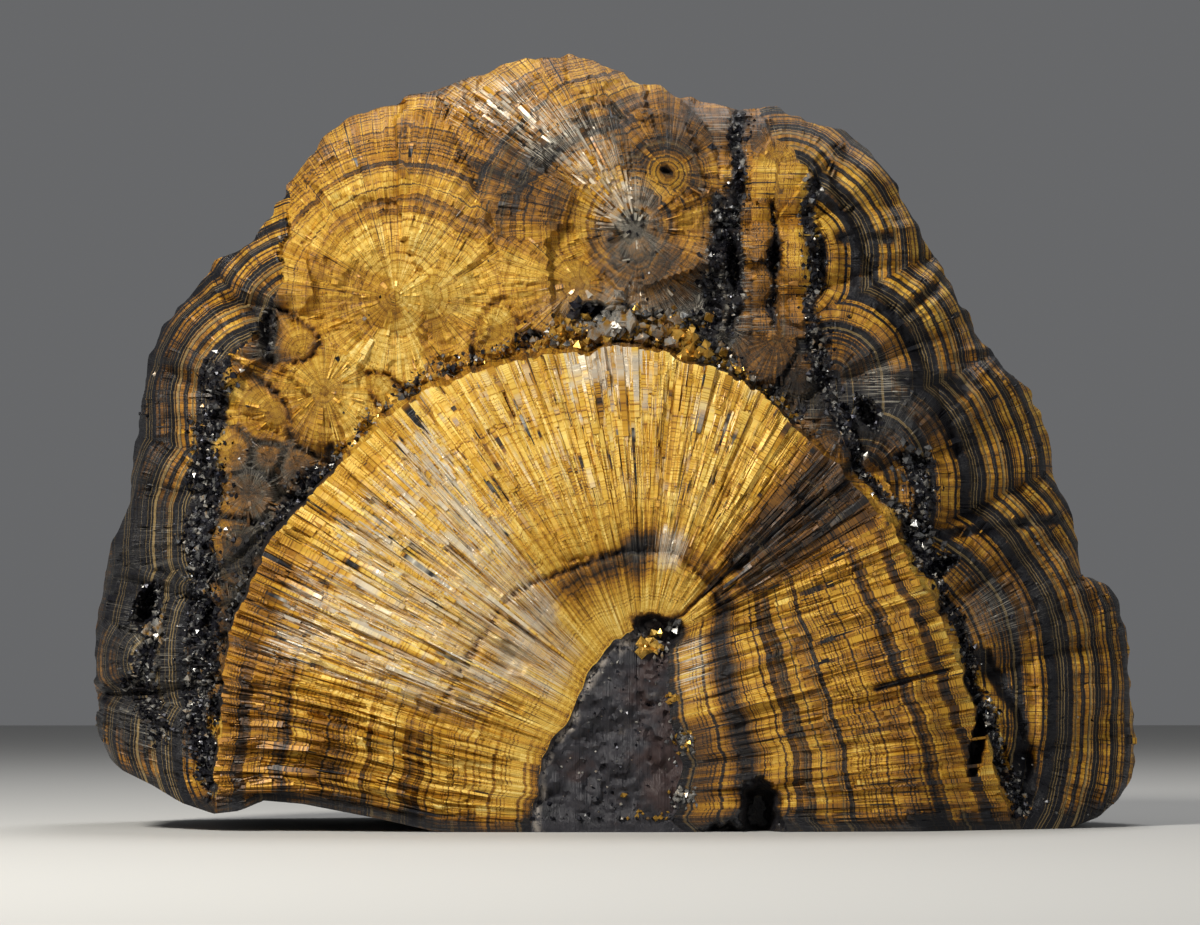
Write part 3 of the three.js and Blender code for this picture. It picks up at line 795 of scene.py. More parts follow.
def front_depth(zone, station, share, x, z):
    """How far back the face lies at a place, with all its relief."""
    fade = smoothstep(z, 0, FOOT_FADE)
    core = CORE_SUNK + roughness(x, z, CORE_UNEVEN) + core_pits(x, z)
    fan = fan_relief(station, share)
    rim = rim_relief(x, z, station, share)
    relief = np.choose(zone, [core, fan, rim]) + crack_depth(x, z)
    drop = np.where(zone == RIM_ZONE, rim_drop(share), 0)
    solid = face_plane(x, z) + fade * relief + drop
    return np.maximum(solid, face_plane(x, z) + hollow_depth(x, z))


def lifted(points):
    """Lifts the left part of the underside clear of the surface."""
    height = value_at(UNDERSIDE, points[:, 0])
    raised = points.copy()
    raised[:, 2] += height * np.maximum(0, 1 - points[:, 2] / UNDERSIDE_REACH)
    return raised


def zone_points(zone, spacing, across_least, low, high):
    """Places of one zone: rows along every station line, with lines left out where they crowd."""
    stations = (np.arange(LINES) + 0.5) / LINES * LAST_STATION
    near_x, near_z = front_place(zone, stations, low)
    far_x, far_z = front_place(zone, stations, high)
    lengths = np.hypot(far_x - near_x, far_z - near_z)
    found = []
    for line, (station, length) in enumerate(zip(stations, lengths)):
        count = int(length / spacing)
        shares = low + (high - low) * (np.arange(count) + 0.5) / max(count, 1)
        x, z = front_place(zone, np.full(count, station), shares)
        beside_x, beside_z = front_place(zone, np.full(count, station + LAST_STATION / LINES), shares)
        apart = np.hypot(beside_x - x, beside_z - z)
        keep = np.ones(count, bool)
        for fold in (2, 4, 8):
            crowded = apart * fold / 2 < across_least
            keep &= ~(crowded & (line % fold != 0))
        found.append(np.column_stack([np.full(count, station), shares])[keep])
    return np.concatenate(found)


def edge_points(count, share):
    """Places along a line of equal share, from the right foot to the left one."""
    stations = (np.arange(count) + 0.5) / count * LAST_STATION
    return np.column_stack([stations, np.full(count, share)])


def outline_stations():
    """Stations of evenly spaced points along the outline, both feet among them."""
    fine = np.linspace(0, LAST_STATION, OUTLINE_STEPS)
    x, z = between(OUTLINE, fine)
    walked = np.concatenate([[0], np.cumsum(np.hypot(np.diff(x), np.diff(z)))])
    return np.interp(np.linspace(0, walked[-1], OUTLINE_POINTS), walked, fine)


class Front:
    """The broken face: its places, points and triangles. The outline comes first, then the foot."""

    def __init__(self):
        outline = np.column_stack([outline_stations(), np.ones(OUTLINE_POINTS)])
        right, left = OUTLINE[0][1], OUTLINE[-1][1]
        foot_x = np.linspace(left, right, FOOT_POINTS + 2)[1:-1]
        groups = [
            (CORE_ZONE, zone_points(CORE_ZONE, CORE_SPACING, CORE_ACROSS_LEAST, 0.0, 0.97)),
            (FAN_ZONE, edge_points(CORE_EDGE_POINTS, 0.0)),
            (FAN_ZONE, zone_points(FAN_ZONE, FAN_SPACING, FAN_ACROSS_LEAST, 0.0, 1.0)),
            (FAN_ZONE, edge_points(LINES, 1.0)),
            (RIM_ZONE, edge_points(LINES, EDGE_WIDTH)),
            (RIM_ZONE, zone_points(RIM_ZONE, RIM_SPACING, RIM_ACROSS_LEAST, EDGE_WIDTH, 0.992)),
        ]
        zones = [np.full(len(outline), RIM_ZONE), self.foot_zones(foot_x)]
        zones += [np.full(len(places), zone) for zone, places in groups]
        places = [outline, self.foot_places(foot_x)] + [places for _, places in groups]
        self.zone = np.concatenate(zones)
        self.station, self.share = np.concatenate(places).T
        self.x, self.z = front_place(self.zone, self.station, self.share)
        self.place_outline()
        fixed = OUTLINE_POINTS + FOOT_POINTS
        inside = self.z > LEAST_INSIDE
        inside[:fixed] = True
        self.keep(inside)
        self.triangulate()

    def foot_zones(self, x):
        """The zone of each place along the foot."""
        inner = (x > CORE[-1][1]) & (x < CORE[0][1])
        fan = (x > FAN_EDGE[-1][1]) & (x < FAN_EDGE[0][1])
        return np.where(inner, CORE_ZONE, np.where(fan, FAN_ZONE, RIM_ZONE))

    def foot_places(self, x):
        """Station and share of places along the foot, where both end stations lie."""
        right = x > FOOT[0]
        end = np.where(right, 0, -1)
        station = np.where(right, 0.0, LAST_STATION)
        marks = [np.full(len(x), FOOT[0])]
        marks += [np.array([table[0][1], table[-1][1]])[end] for table in (CORE, FAN_EDGE, OUTLINE)]
        zone = self.foot_zones(x)
        start = np.choose(zone, marks[:3])
        stop = np.choose(zone, marks[1:])
        return np.column_stack([station, (x - start) / (stop - start)])

    def place_outline(self):
        """Gives the outline its fine scallops, apart from its two feet."""
        x, z = self.x[:OUTLINE_POINTS], self.z[:OUTLINE_POINTS]
        along = np.arange(OUTLINE_POINTS) * OUTLINE_STEP
        out = np.column_stack([np.gradient(z), -np.gradient(x)])
        out /= np.linalg.norm(out, axis=1)[:, None]
        wave = sum(height * uneven(along, row + 0 * along, size) for size, height, row in SCALLOPS)
        wave *= smoothstep(z, *SCALLOPS_FROM)
        self.x[:OUTLINE_POINTS] += out[:, 0] * wave
        self.z[:OUTLINE_POINTS] += out[:, 1] * wave

    def keep(self, wanted):
        """Drops the places that aren't wanted."""
        for name in ("zone", "station", "share", "x", "z"):
            setattr(self, name, getattr(self, name)[wanted])

    def triangulate(self):
        """Joins the places into triangles that all face outwards, and sets their depths."""
        loop = np.arange(OUTLINE_POINTS + FOOT_POINTS)
        edges = [(int(a), int(b)) for a, b in zip(loop, np.roll(loop, -1))]
        flat = [Vector(place) for place in np.column_stack([self.x, self.z])]
        made = delaunay_2d_cdt(flat, edges, [], 1, 1e-5)
        source = np.array([first[0] for first in made[3]])
        triangles = source[np.array(made[2])]
        a, b, c = (np.column_stack([self.x, self.z])[triangles[:, k]] for k in range(3))
        turn = (b[:, 0] - a[:, 0]) * (c[:, 1] - a[:, 1]) - (b[:, 1] - a[:, 1]) * (c[:, 0] - a[:, 0])
        flipped = triangles[:, [0, 2, 1]]
        self.triangles = np.where((turn < 0)[:, None], flipped, triangles)
        self.y = front_depth(self.zone, self.station, self.share, self.x, self.z)

    def points(self):
        """The places of the face as points."""
        return np.column_stack([self.x, self.y, self.z])


# The shell behind the face


def outline_point(station):
    """A point of the outline, before its fine scallops."""
    x, z = between(OUTLINE, station)
    fade = smoothstep(z, 0, FOOT_FADE)
    relief = SEAM_DEPTH * seam_lines(x, z) + side_valley(x, z) + roughness(x, z, RIM_UNEVEN)
    return np.stack([x, face_plane(x, z) + fade * relief + RIM_DROP, z], axis=-1)


def calm_outline_point(station):
    """The outline with its notches evened out, as it is further back. It keeps its feet."""
    reach = CALM_REACH * LAST_STATION / STEPS
    reach = np.minimum(reach, np.minimum(station, LAST_STATION - station))
    return np.mean([outline_point(station + k * reach) for k in (-1, -0.5, 0, 0.5, 1)], axis=0)


def back_point(share, outline, calm):
    """A point of the back: the outline shrinks towards the back's pole as it goes deeper."""
    weight = smoothstep(share, 0, 0.3)
    start = outline + (calm - outline) * weight[..., None]
    turn = share * np.pi / 2
    shrink = np.maximum(0, np.cos(turn)) ** (2 / BACK_FULLNESS)
    deep = np.sin(turn) ** (2 / BACK_FULLNESS)
    pole_z = BACK_POLE_Z * smoothstep(share, 0.45, 1)
    x = BACK_POLE_X + (start[..., 0] - BACK_POLE_X) * shrink
    y = start[..., 1] + (BACK_Y - start[..., 1]) * deep
    z = pole_z + (start[..., 2] - pole_z) * shrink
    return np.stack([x, y, z], axis=-1)


def lobe_middles():
    """Middles of the kidney-shaped lobes, in rows that go round the back."""
    middles = []
    for row, (share, count) in enumerate(LOBE_ROWS):
        i = np.arange(count)
        station = (i + 0.5 + 0.3 * scatter(i, row)) / count * LAST_STATION
        shares = share + 0.04 * scatter(row, i + 20)
        outline = outline_point(station)
        middles.append(back_point(shares, outline, calm_outline_point(station)))
    return np.concatenate(middles)


def domes(points, size, seed):
    """Small rounded lobes, 1 at their middles and falling to creases between them."""
    cell = np.floor(points / size)
    nearest = np.full(len(points), np.inf)
    for i in (-1, 0, 1):
        for j in (-1, 0, 1):
            for k in (-1, 0, 1):
                a = cell + (i, j, k)
                code = a[:, 0] + 57 * a[:, 1] + seed
                jitter = [scatter(code, a[:, 2] + shift) for shift in (0, 31, 67)]
                middle = a + 0.5 + DOME_JITTER * np.stack(jitter, axis=1)
                away = ((points / size - middle) ** 2).sum(axis=1)
                nearest = np.minimum(nearest, away)
    return 1 - nearest


def swollen(points, share, lobes):
    """Swells the lobes and the smaller lobes on them out of the back."""
    out = points - (0, 0, LOBE_CENTRE_Z)
    out /= np.linalg.norm(out, axis=1)[:, None]
    near = np.full(len(points), LOBE_CREASE)
    for middle in lobes:
        near = np.minimum(near, np.linalg.norm(points - middle, axis=1))
    large = LOBE_HEIGHT * (0.5 - (near / LOBE_RADIUS) ** 2) * smoothstep(share, 0, 0.15)
    small = SMALL_LOBE_HEIGHT * (domes(points, *SMALL_LOBES) - LOBE_MIDDLE)
    small = small + TINY_LOBE_HEIGHT * (domes(points, *TINY_LOBES) - LOBE_MIDDLE)
    off_foot = smoothstep(points[:, 2], 0, 14)
    rise = off_foot * (large + small * smoothstep(share, 0, 0.02))
    return points + out * rise[:, None]


class Shell:
    """The sides, back and underside, as rings that start at the face's outline and foot."""

    def __init__(self, front):
        self.lobes = lobe_middles()
        self.triangles = []
        stations = outline_stations()
        under = LAST_STATION + UNDER_SPAN * (np.arange(FOOT_POINTS) + 1) / (FOOT_POINTS + 1)
        places = np.concatenate([stations, under])
        ring = np.arange(len(places))
        self.scallop = front.points()[:OUTLINE_POINTS] - outline_point(stations)
        self.scallop_at = stations
        self.total = len(front.x)
        self.extra = []
        for share in self.ring_shares():
            new_places, points = self.ring_points(share)
            new_ring = self.total + np.arange(len(points))
            self.triangles += strip(ring, places, new_ring, new_places)
            self.extra.append(points)
            self.total += len(points)
            ring, places = new_ring, new_places
        self.close(ring)

    def ring_shares(self):
        """Shares of rings that lie evenly apart on the way from the outline to the pole."""
        station = np.linspace(1, LAST_STATION - 1, POLE_LINES)
        fine = np.linspace(0, 1, POLE_STEPS)
        outline, calm = outline_point(station), calm_outline_point(station)
        full = [back_point(np.full(POLE_LINES, share), outline, calm) for share in fine]
        steps = np.linalg.norm(np.diff(full, axis=0), axis=2).mean(axis=1)
        walked = np.concatenate([[0], np.cumsum(steps)])
        count = int(walked[-1] / BACK_SPACING)
        return np.interp(walked[-1] * np.arange(1, count) / count, walked, fine)

    def ring_points(self, share):
        """Places and points of one ring: over the back, then under the foot."""
        fine = np.linspace(0, LAST_STATION, RING_STEPS)
        shares = np.full(len(fine), share)
        curve = back_point(shares, outline_point(fine), calm_outline_point(fine))
        walked = np.concatenate([[0], np.cumsum(np.linalg.norm(np.diff(curve, axis=0), axis=1))])
        count = max(LEAST_RING, int(walked[-1] / BACK_SPACING))
        station = np.interp(np.linspace(0, walked[-1], count), walked, fine)
        over = np.column_stack([np.interp(station, fine, curve[:, k]) for k in range(3)])
        kept = 1 - smoothstep(share, 0, 0.05)
        for k in range(3):
            over[:, k] += kept * np.interp(station, self.scallop_at, self.scallop[:, k])
        width = np.linalg.norm(over[-1] - over[0])
        gaps = max(3, int(width / UNDER_SPACING))
        along = (np.arange(gaps - 1) + 1) / gaps
        under = over[-1] + (over[0] - over[-1]) * along[:, None]
        off_rim = smoothstep(share, 0, 0.1) * np.sin(along * np.pi)
        broken = np.maximum(0, crystals(under[:, 0], under[:, 1], UNDER_FACETS, 2))
        under[:, 2] += UNDER_RELIEF * off_rim * broken
        places = np.concatenate([station, LAST_STATION + UNDER_SPAN * along])
        return places, swollen(np.concatenate([over, under]), share, self.lobes)

    def close(self, ring):
        """Closes the last ring with a point in its middle."""
        points = self.extra[-1]
        self.extra.append(points.mean(axis=0)[None, :])
        following = np.roll(ring, -1)
        self.triangles += [(b, a, self.total) for a, b in zip(ring, following)]
        self.total += 1


def strip(first, first_places, second, second_places):
    """Triangles between two closed rings, matched by where their points lie along them."""
    turn = LAST_STATION + UNDER_SPAN
    a_place = np.append(first_places, first_places[0] + turn)
    b_place = np.append(second_places, second_places[0] + turn)
    i = j = 0
    triangles = []
    while i < len(first) or j < len(second):
        a, b = first[i % len(first)], second[j % len(second)]
        if j == len(second) or (i < len(first) and a_place[i + 1] <= b_place[j + 1]):
            i += 1
            triangles.append((first[i % len(first)], a, b))
        else:
            j += 1
            triangles.append((b, second[j % len(second)], a))
    return triangles


# What the materials read at each place


def banding_at(fan, side, station, x, z):
    """How strongly a place shows growth bands."""
    ringed = np.zeros(np.shape(x))
    for rx, rz, radius, share in RINGED:
        away = ((x - rx) ** 2 + (z - rz) ** 2) / radius**2
        ringed = np.maximum(ringed, share * hump(away))
    high = smoothstep(z, 160, 185) * (1 - smoothstep(x, 0, 20))
    inner = 0.12 + 0.2 * high + 0.88 * ringed
    return np.where(fan, value_at(FAN_BANDING, station), np.where(side, 1.0, inner))


def bell(value, low, high, soft):
    """1 between low and high, and falling to 0 softly outside."""
    return smoothstep(value, low - soft, low + soft) * (1 - smoothstep(value, high - soft, high + soft))


def fan_looks(station, share):
    """How dark places of the fan are, and how much painted sheen they have."""
    dark = np.zeros(np.shape(share))
    sheen_rind_and_dust = np.zeros(np.shape(share))
    # The painted sheen is a painted highlight, which the glints are drawn from.
    for low, high, near, far, darker, painted_sheen in FAN_PATCHES:
        place = bell(station, low, high, PATCH_SOFT[0]) * bell(share, near, far, PATCH_SOFT[1])
        dark = dark + darker * place
        sheen_rind_and_dust = sheen_rind_and_dust + painted_sheen * place
    middle, strength = between(CORE_BAND, station)
    dark = dark + strength * hump((share - middle) / CORE_BAND_WIDTH)
    return dark, sheen_rind_and_dust


def rim_looks(x, z, station, share, nucleus):
    """How dark places round the fan are, and how much painted sheen they have."""
    side = on_side(nucleus)
    strip_share = granular(share, station)
    inner = INNER_DARK + HIGH_DARK * smoothstep(z, *HIGH_FROM)
    dark = np.where(side, SIDE_DARK, inner) + STRIP_DARK * strip_share
    dark = dark + FACET_DARK * crystals(x, z, FACET_DARK_SIZE, 8)
    sheen_rind_and_dust = np.where(side, SIDE_SHEEN, INNER_SHEEN) * (1 - strip_share)
    # The painted sheen is a painted highlight, which the glints are drawn from.
    for sx, sz, half_width, half_height, darker, painted_sheen in FACE_SPOTS:
        place = np.exp(-(((x - sx) / half_width) ** 2) - ((z - sz) / half_height) ** 2)
        dark = dark + darker * place
        sheen_rind_and_dust = sheen_rind_and_dust + painted_sheen * place
    for rx, rz, radius, width, darker in RINGS:
        off = np.hypot(x - rx, z - rz) + 0.8 * uneven(x, z, 4) - radius
        dark = dark + darker * hump(off / width)
    return dark, sheen_rind_and_dust


def bundle_tint(across, along):
    """A number from 0 to 1 that is the same all over a broken fibre bundle."""
    tint = 0.5
    for seed, share in ((1, 0.16), (2, 0.2), (3, 0.14)):
        width, length, _ = BUNDLES[seed - 1]
        column, row, _, _ = bundle_cell(across, along, width, length, seed)
        tint = tint + share * scatter(column + 2 * seed, row + 9)
    return tint


def looks_at(zone, station, share, x, z, nucleus):
    """What the material reads at places of the face."""
    fan = zone == FAN_ZONE
    rim = zone == RIM_ZONE
    rim_growth, rim_across = growth_from(x, z, nucleus)
    rim_growth = rim_growth + np.where(on_side(nucleus), 0, facet_shift(x, z))
    growth = np.where(fan, share * FAN_GROWTH, np.where(rim, rim_growth, 0.3 * z))
    across = np.where(fan, station * STATION_WIDTH, np.where(rim, rim_across, x))
    fan_dark, fan_sheen = fan_looks(station, share)
    rim_dark, rim_sheen = rim_looks(x, z, station, share, nucleus)
    # Painted shade: the hollows are darkened in the colour, with a painted shadow round them.
    pit = smoothstep(hollow_depth(x, z), -1, 2.5)
    shaded = smoothstep(hollow_depth(x, z) + 2 * uneven(x, z, 3), -6, 0)
    shadow = HOLLOW_SHADE * pit + SHADOW_DARK * shaded
    # Painted shade in the cracks; the gaps where fibres meet are darkened too.
    crack = smoothstep(crack_depth(x, z), 0.5, 2) + np.where(rim, GAP_DARK * meeting(x, z), 0)
    seam = np.where(rim, seam_share(x, z), 0)
    seam = np.maximum(seam, HOLLOW_SEAM * pit)
    ragged_share = share + 0.06 * uneven(x, z, 3)
    left_edge = smoothstep(station, *RIND_BEGINS) * smoothstep(ragged_share, *RIND_SHARE)
    core_rind = np.where(zone == CORE_ZONE, left_edge, 0.0)
    # Painted shade along the foot, darkest where the stone meets the floor.
    foot_shade = FOOT_SHADE * (1 - smoothstep(z + 2.5 * uneven(x, 0 * x, 4), *FOOT_SHADE_HEIGHT))
    dark = np.where(fan, fan_dark, np.where(rim, rim_dark, 0))
    return {
        "growth": growth,
        "across": across,
        "dark": dark + shadow + CRACK_DARK * crack + foot_shade,
        # Painted sheen on the fan and round it; on the core, its pale rind.
        "sheen_rind_and_dust": np.where(fan, fan_sheen, np.where(rim, rim_sheen, core_rind)),
        "seam": seam,
        "banding": banding_at(fan, rim & on_side(nucleus), station, x, z),
        "plain": np.where(fan, 1.0, 0.0),
    }


def triangle_zones(front):
    """The zone of each triangle of the face."""
    zones = front.zone[front.triangles]
    zone = np.where((zones == RIM_ZONE).any(axis=1), RIM_ZONE, FAN_ZONE)
    return np.where((zones == CORE_ZONE).any(axis=1) & (zone != RIM_ZONE), CORE_ZONE, zone)


def front_looks(front, zone):
    """Looks at the three corners of each triangle of the face, from the zone of each."""
    t = front.triangles
    x, z = front.x[t], front.z[t]
    nucleus = np.repeat(nucleus_of(x.mean(axis=1), z.mean(axis=1))[:, None], 3, axis=1)
    station, share = front.station[t], front.share[t].copy()
    share[(zone == RIM_ZONE)[:, None] & (front.zone[t] == FAN_ZONE)] = 0
    looks = looks_at(np.repeat(zone[:, None], 3, axis=1), station, share, x, z, nucleus)
    middle = {name: values.mean(axis=1) for name, values in looks.items()}
    tint = bundle_tint(middle["across"], middle["growth"])
    looks["tint"] = np.repeat(tint[:, None], 3, axis=1)
    looks["skin"] = np.zeros(t.shape)
    return looks


def shell_looks(points, triangles):
    """Looks of the sides, the back and the underside: a dark skin over the lobes."""
    size = triangles.shape
    x, y, z = points[triangles].transpose(2, 0, 1)
    deep = y - (face_plane(x, z) + RIM_DROP)
    crease = LOBE_MIDDLE - 0.9 * domes(points, *SMALL_LOBES)
    crease = crease + 0.5 * (LOBE_MIDDLE - domes(points, *TINY_LOBES))
    return {
        "growth": 60 + 0.7 * deep,
        "across": 0.5 * z + 0.3 * y,
        "dark": 0.3 + 0.02 * deep,
        # The skin's creases: where dust gathers, and next to the face a little painted sheen.
        "sheen_rind_and_dust": crease[triangles],
        "seam": np.zeros(size),
        "banding": np.ones(size),
        "plain": np.zeros(size),
        "tint": np.full(size, 0.5),
        "skin": smoothstep(deep, -1, 8),
    }


# Meshes and materials


def make_mesh(name, points, triangles, looks, sharp_angle):
    """A mesh object in metres with its looks stored at the corners of its triangles."""
    mesh = bpy.data.meshes.new(name)
    mesh.vertices.add(len(points))
    mesh.vertices.foreach_set("co", (points * MM).astype(np.float32).ravel())
    mesh.loops.add(triangles.size)
    mesh.loops.foreach_set("vertex_index", triangles.astype(np.int32).ravel())
    mesh.polygons.add(len(triangles))
    mesh.polygons.foreach_set("loop_start", np.arange(0, triangles.size, 3, dtype=np.int32))
    mesh.polygons.foreach_set("use_smooth", np.ones(len(triangles), bool))
    mesh.update(calc_edges=True)
    mesh.validate()
    for look, values in looks.items():
        layer = mesh.attributes.new(look, "FLOAT", "CORNER")
        layer.data.foreach_set("value", np.ascontiguousarray(values, np.float32).ravel())
    mesh.set_sharp_from_angle(angle=np.radians(sharp_angle))
    made = bpy.data.objects.new(name, mesh)
    bpy.context.collection.objects.link(made)
    return made


class Shader:
    """Adds nodes to a material and links them as they are made."""

    def __init__(self, name):
        self.material = bpy.data.materials.new(name)
        self.material.use_nodes = True
        self.tree = self.material.node_tree
        self.tree.nodes.clear()

    def add(self, kind, inputs=None, output=0, **settings):
        """A new node's output. The inputs are values, or outputs of other nodes."""
        node = self.tree.nodes.new(kind)
        for key, value in settings.items():
            setattr(node, key, value)
        for key, value in (inputs or {}).items():
            if isinstance(value, bpy.types.NodeSocket):
                self.tree.links.new(value, node.inputs[key])
            else:
                node.inputs[key].default_value = value
        return node.outputs[output]

    def look(self, name):
        """A look that is stored in the mesh."""
        return self.add("ShaderNodeAttribute", output="Fac", attribute_name=name)

    def math(self, operation, a, b=0.0):
        return self.add("ShaderNodeMath", {0: a, 1: b}, operation=operation)

    def times(self, a, b):
        return self.math("MULTIPLY", a, b)

    def plus(self, a, b):
        return self.math("ADD", a, b)

    def centred(self, value):
        return self.math("SUBTRACT", value, 0.5)

    def total(self, start, parts):
        """The start plus each value times its weight."""
        for value, weight in parts:
            start = self.plus(start, self.times(value, weight))
        return start

    def range(self, value, low, high, new_low=0.0, new_high=1.0, smooth=True):
        """Carries a value from one range over to another, and stops at its ends."""
        kind = "SMOOTHSTEP" if smooth else "LINEAR"
        inputs = {"Value": value, "From Min": low, "From Max": high}
        inputs.update({"To Min": new_low, "To Max": new_high})
        return self.add("ShaderNodeMapRange", inputs, interpolation_type=kind)

    def noise(self, place, scale, detail=2.0, rough=0.5, dimensions="3D"):
        """Noise over a place, or along a value where it has one dimension."""
        key = "W" if dimensions == "1D" else "Vector"
        inputs = {key: place, "Scale": scale, "Detail": detail, "Roughness": rough}
        return self.add("ShaderNodeTexNoise", inputs, noise_dimensions=dimensions)

    def ramp(self, value, stops):
        """A colour that goes through the stops, each a place and a colour."""
        node = self.tree.nodes.new("ShaderNodeValToRGB")
        self.tree.links.new(value, node.inputs["Fac"])
        elements = node.color_ramp.elements
        while len(elements) < len(stops):
            elements.new(0.5)
        for element, (place, color) in zip(elements, stops):
            element.position = place
            element.color = (*color, 1)
        return node.outputs["Color"]

    def mix(self, share, first, second):
        """A mix of a node's colour and a second one, which is a node's or a fixed one."""
        if isinstance(second, tuple):
            second = (*second, 1)
        return self.add("ShaderNodeMix", {0: share, 6: first, 7: second}, 2, data_type="RGBA")

    def mix_value(self, share, first, second):
        return self.add("ShaderNodeMix", {0: share, 2: first, 3: second}, data_type="FLOAT")

    def finish(self, color, roughness, metallic, height, strength, distance):
        """The material, with a bump of this height."""
        bump = {"Height": height, "Strength": strength, "Distance": distance}
        inputs = {
            "Base Color": color,
            "Roughness": roughness,
            "Metallic": metallic,
            "Normal": self.add("ShaderNodeBump", bump),
            "Specular IOR Level": SHINE,
        }
        surface = self.add("ShaderNodeBsdfPrincipled", inputs)
        last = self.tree.nodes.new("ShaderNodeOutputMaterial")
        self.tree.links.new(surface, last.inputs["Surface"])
        return self.material


class StoneShader(Shader):
    """The patterns that the materials of the face, the core and the skin have in common."""

    def __init__(self, name):
        super().__init__(name)
        self.place = self.add("ShaderNodeTexCoord", output="Object")
        self.growth = self.look("growth")
        self.across = self.look("across")
        self.tint = self.look("tint")
        # Painted sheen on the face, the pale rind of the core and the dusty creases of the skin.
        self.sheen_rind_and_dust = self.look("sheen_rind_and_dust")
        self.banding = self.look("banding")
        self.plain = self.look("plain")
        self.wavy = self.uneven_growth()
        self.fibre = self.centred(self.streaks(FIBRES))
        self.streak = self.centred(self.streaks(BROAD_STREAKS))
        dashes = self.range(self.streaks(DASHES), 0.36, 0.62)
        self.hatch = self.times(self.range(self.bands(HATCH), 0.52, 0.66), dashes)
        self.lines = self.range(self.bands(THIN_LINES), 0.57, 0.64)
        self.grain = self.noise(self.place, 420, 3, 0.7)
        crystalline = self.plus(self.look("seam"), self.times(self.centred(self.grain), 0.8))
        self.sooty = self.range(crystalline, 0.3, 0.75)
        # Glints: painted highlights along the fibres, strongest where the painted sheen is.
        shining = self.plus(self.streaks(GLINTS), self.times(self.sheen_rind_and_dust, 0.26))
        self.glint = self.times(self.range(shining, 0.60, 0.76), self.range(self.sheen_rind_and_dust, 0.0, 0.5))

    def uneven_growth(self):
        """The growth, in steps from fibre to fibre where there are no strong bands."""
        strand = self.centred(self.noise(self.times(self.across, 1.5), 1.0, 1, 0.5, "1D"))
        sway = self.times(self.centred(self.noise(self.place, 40, 2)), 2.4)
        steps = self.plus(self.times(self.centred(self.tint), 1.2), self.times(strand, 0.7))
        steps = self.times(steps, self.range(self.banding, 0, 1, 1.0, 0.25, False))
        return self.plus(self.plus(self.growth, sway), steps)

    def streaks(self, pattern):
        """Streaks along the fibres, from how often they change across and along, and how rough."""
        often_across, often_along, rough = pattern
        x, y = self.times(self.across, often_across), self.times(self.growth, often_along)
        place = self.add("ShaderNodeCombineXYZ", {"X": x, "Y": y, "Z": 0.0})
        return self.noise(place, 1.0, 3, rough, "2D")

    def bands(self, pattern):
        """Bands that follow the growth, from how often they change, their detail and how rough."""
        often, detail, rough = pattern
        return self.noise(self.times(self.wavy, often), 1.0, detail, rough, "1D")

    def rare_lines(self, pattern):
        """Thin lines that follow the growth, where a slow noise passes its middle."""
        shift, often, outer, inner = pattern
        slow = self.centred(self.noise(self.plus(self.wavy, shift), often, 1, 0.5, "1D"))
        return self.range(self.math("ABSOLUTE", slow), outer, inner)

    def fibre_color(self):
        """Golden fibres with growth bands across them, dark gaps, painted silver glints and black seams."""
        strong = self.times(self.banding, self.banding)
        black = self.times(strong, self.range(self.bands(BLACK_BANDS), 0.49, 0.54))
        black = self.times(black, self.range(self.plain, 0, 1, 1, 0.3, False))
        ring = self.times(self.rare_lines(DARK_RINGS), self.range(self.banding, 0.1, 0.6, 0.04, 0.5))
        gap = self.range(self.streaks(GAPS), 0.40, 0.30)
        value = self.total(GOLDEN_MIDDLE, [
            (self.fibre, 0.45),
            (self.streak, self.range(self.plain, 0, 1, 0.36, 0.55, False)),
            (self.centred(self.tint), 0.25),
            (self.hatch, -0.24),
            (self.lines, self.range(self.banding, 0, 0.7, -0.12, -0.32)),
            (gap, self.range(self.sheen_rind_and_dust, 0, 0.6, -0.55, -0.85, False)),
            (black, -0.62),
            (ring, -1),
            (self.look("dark"), -0.66),
        ])
        pale = self.times(self.rare_lines(PALE_LINES), self.range(self.banding, 0.2, 1, 0.1, 0.4))
        color = self.mix(pale, self.ramp(value, GOLDEN), PALE_GOLD)
        # Painted highlight: the glints whiten the colour.
        color = self.mix(self.times(self.glint, 0.75), color, GLINT_HIGHLIGHT)
        return self.mix(self.sooty, color, self.ramp(self.grain, SOOT))

    def roughness(self):
        """Fibres are smooth in some places and rough in others, and smoothest in the glints."""
        return self.total(self.range(self.fibre, -0.2, 0.2, 0.36, 0.55), [(self.glint, -0.1)])

    def height(self):
        """Relief too fine for the mesh: fibres and lines, and grains in the seams."""
        parts = [(self.streak, 0.5), (self.hatch, -0.10), (self.lines, -0.10)]
        fine = self.total(self.times(self.fibre, 0.7), parts)
        return self.mix_value(self.sooty, fine, self.times(self.grain, 1.2))

    def finish_stone(self, color, roughness, height):
        """The material, a little metallic and more so in the glints."""
        metallic = self.total(0.15, [(self.glint, 0.35)])
        return self.finish(color, roughness, metallic, height, STONE_BUMP, STONE_BUMP_DEPTH)


def face_material():
    """The broken face round the core."""
    s = StoneShader("goethite face")
    return s.finish_stone(s.fibre_color(), s.roughness(), s.height())


def core_material():
    """Porous dark clinker, rusty in places, with a pale rind along its left edge."""
    s = StoneShader("goethite core")
    dust = s.noise(s.place, *DUST)
    rusty = s.times(s.range(dust, 0.5, 0.62), 0.7)
    color = s.mix(rusty, s.ramp(s.noise(s.place, *PORES), CLINKER), RUST)
    rind = s.times(s.sheen_rind_and_dust, s.range(s.grain, 0.40, 0.56))
    return s.finish_stone(s.mix(rind, color, RIND), s.roughness(), s.height())


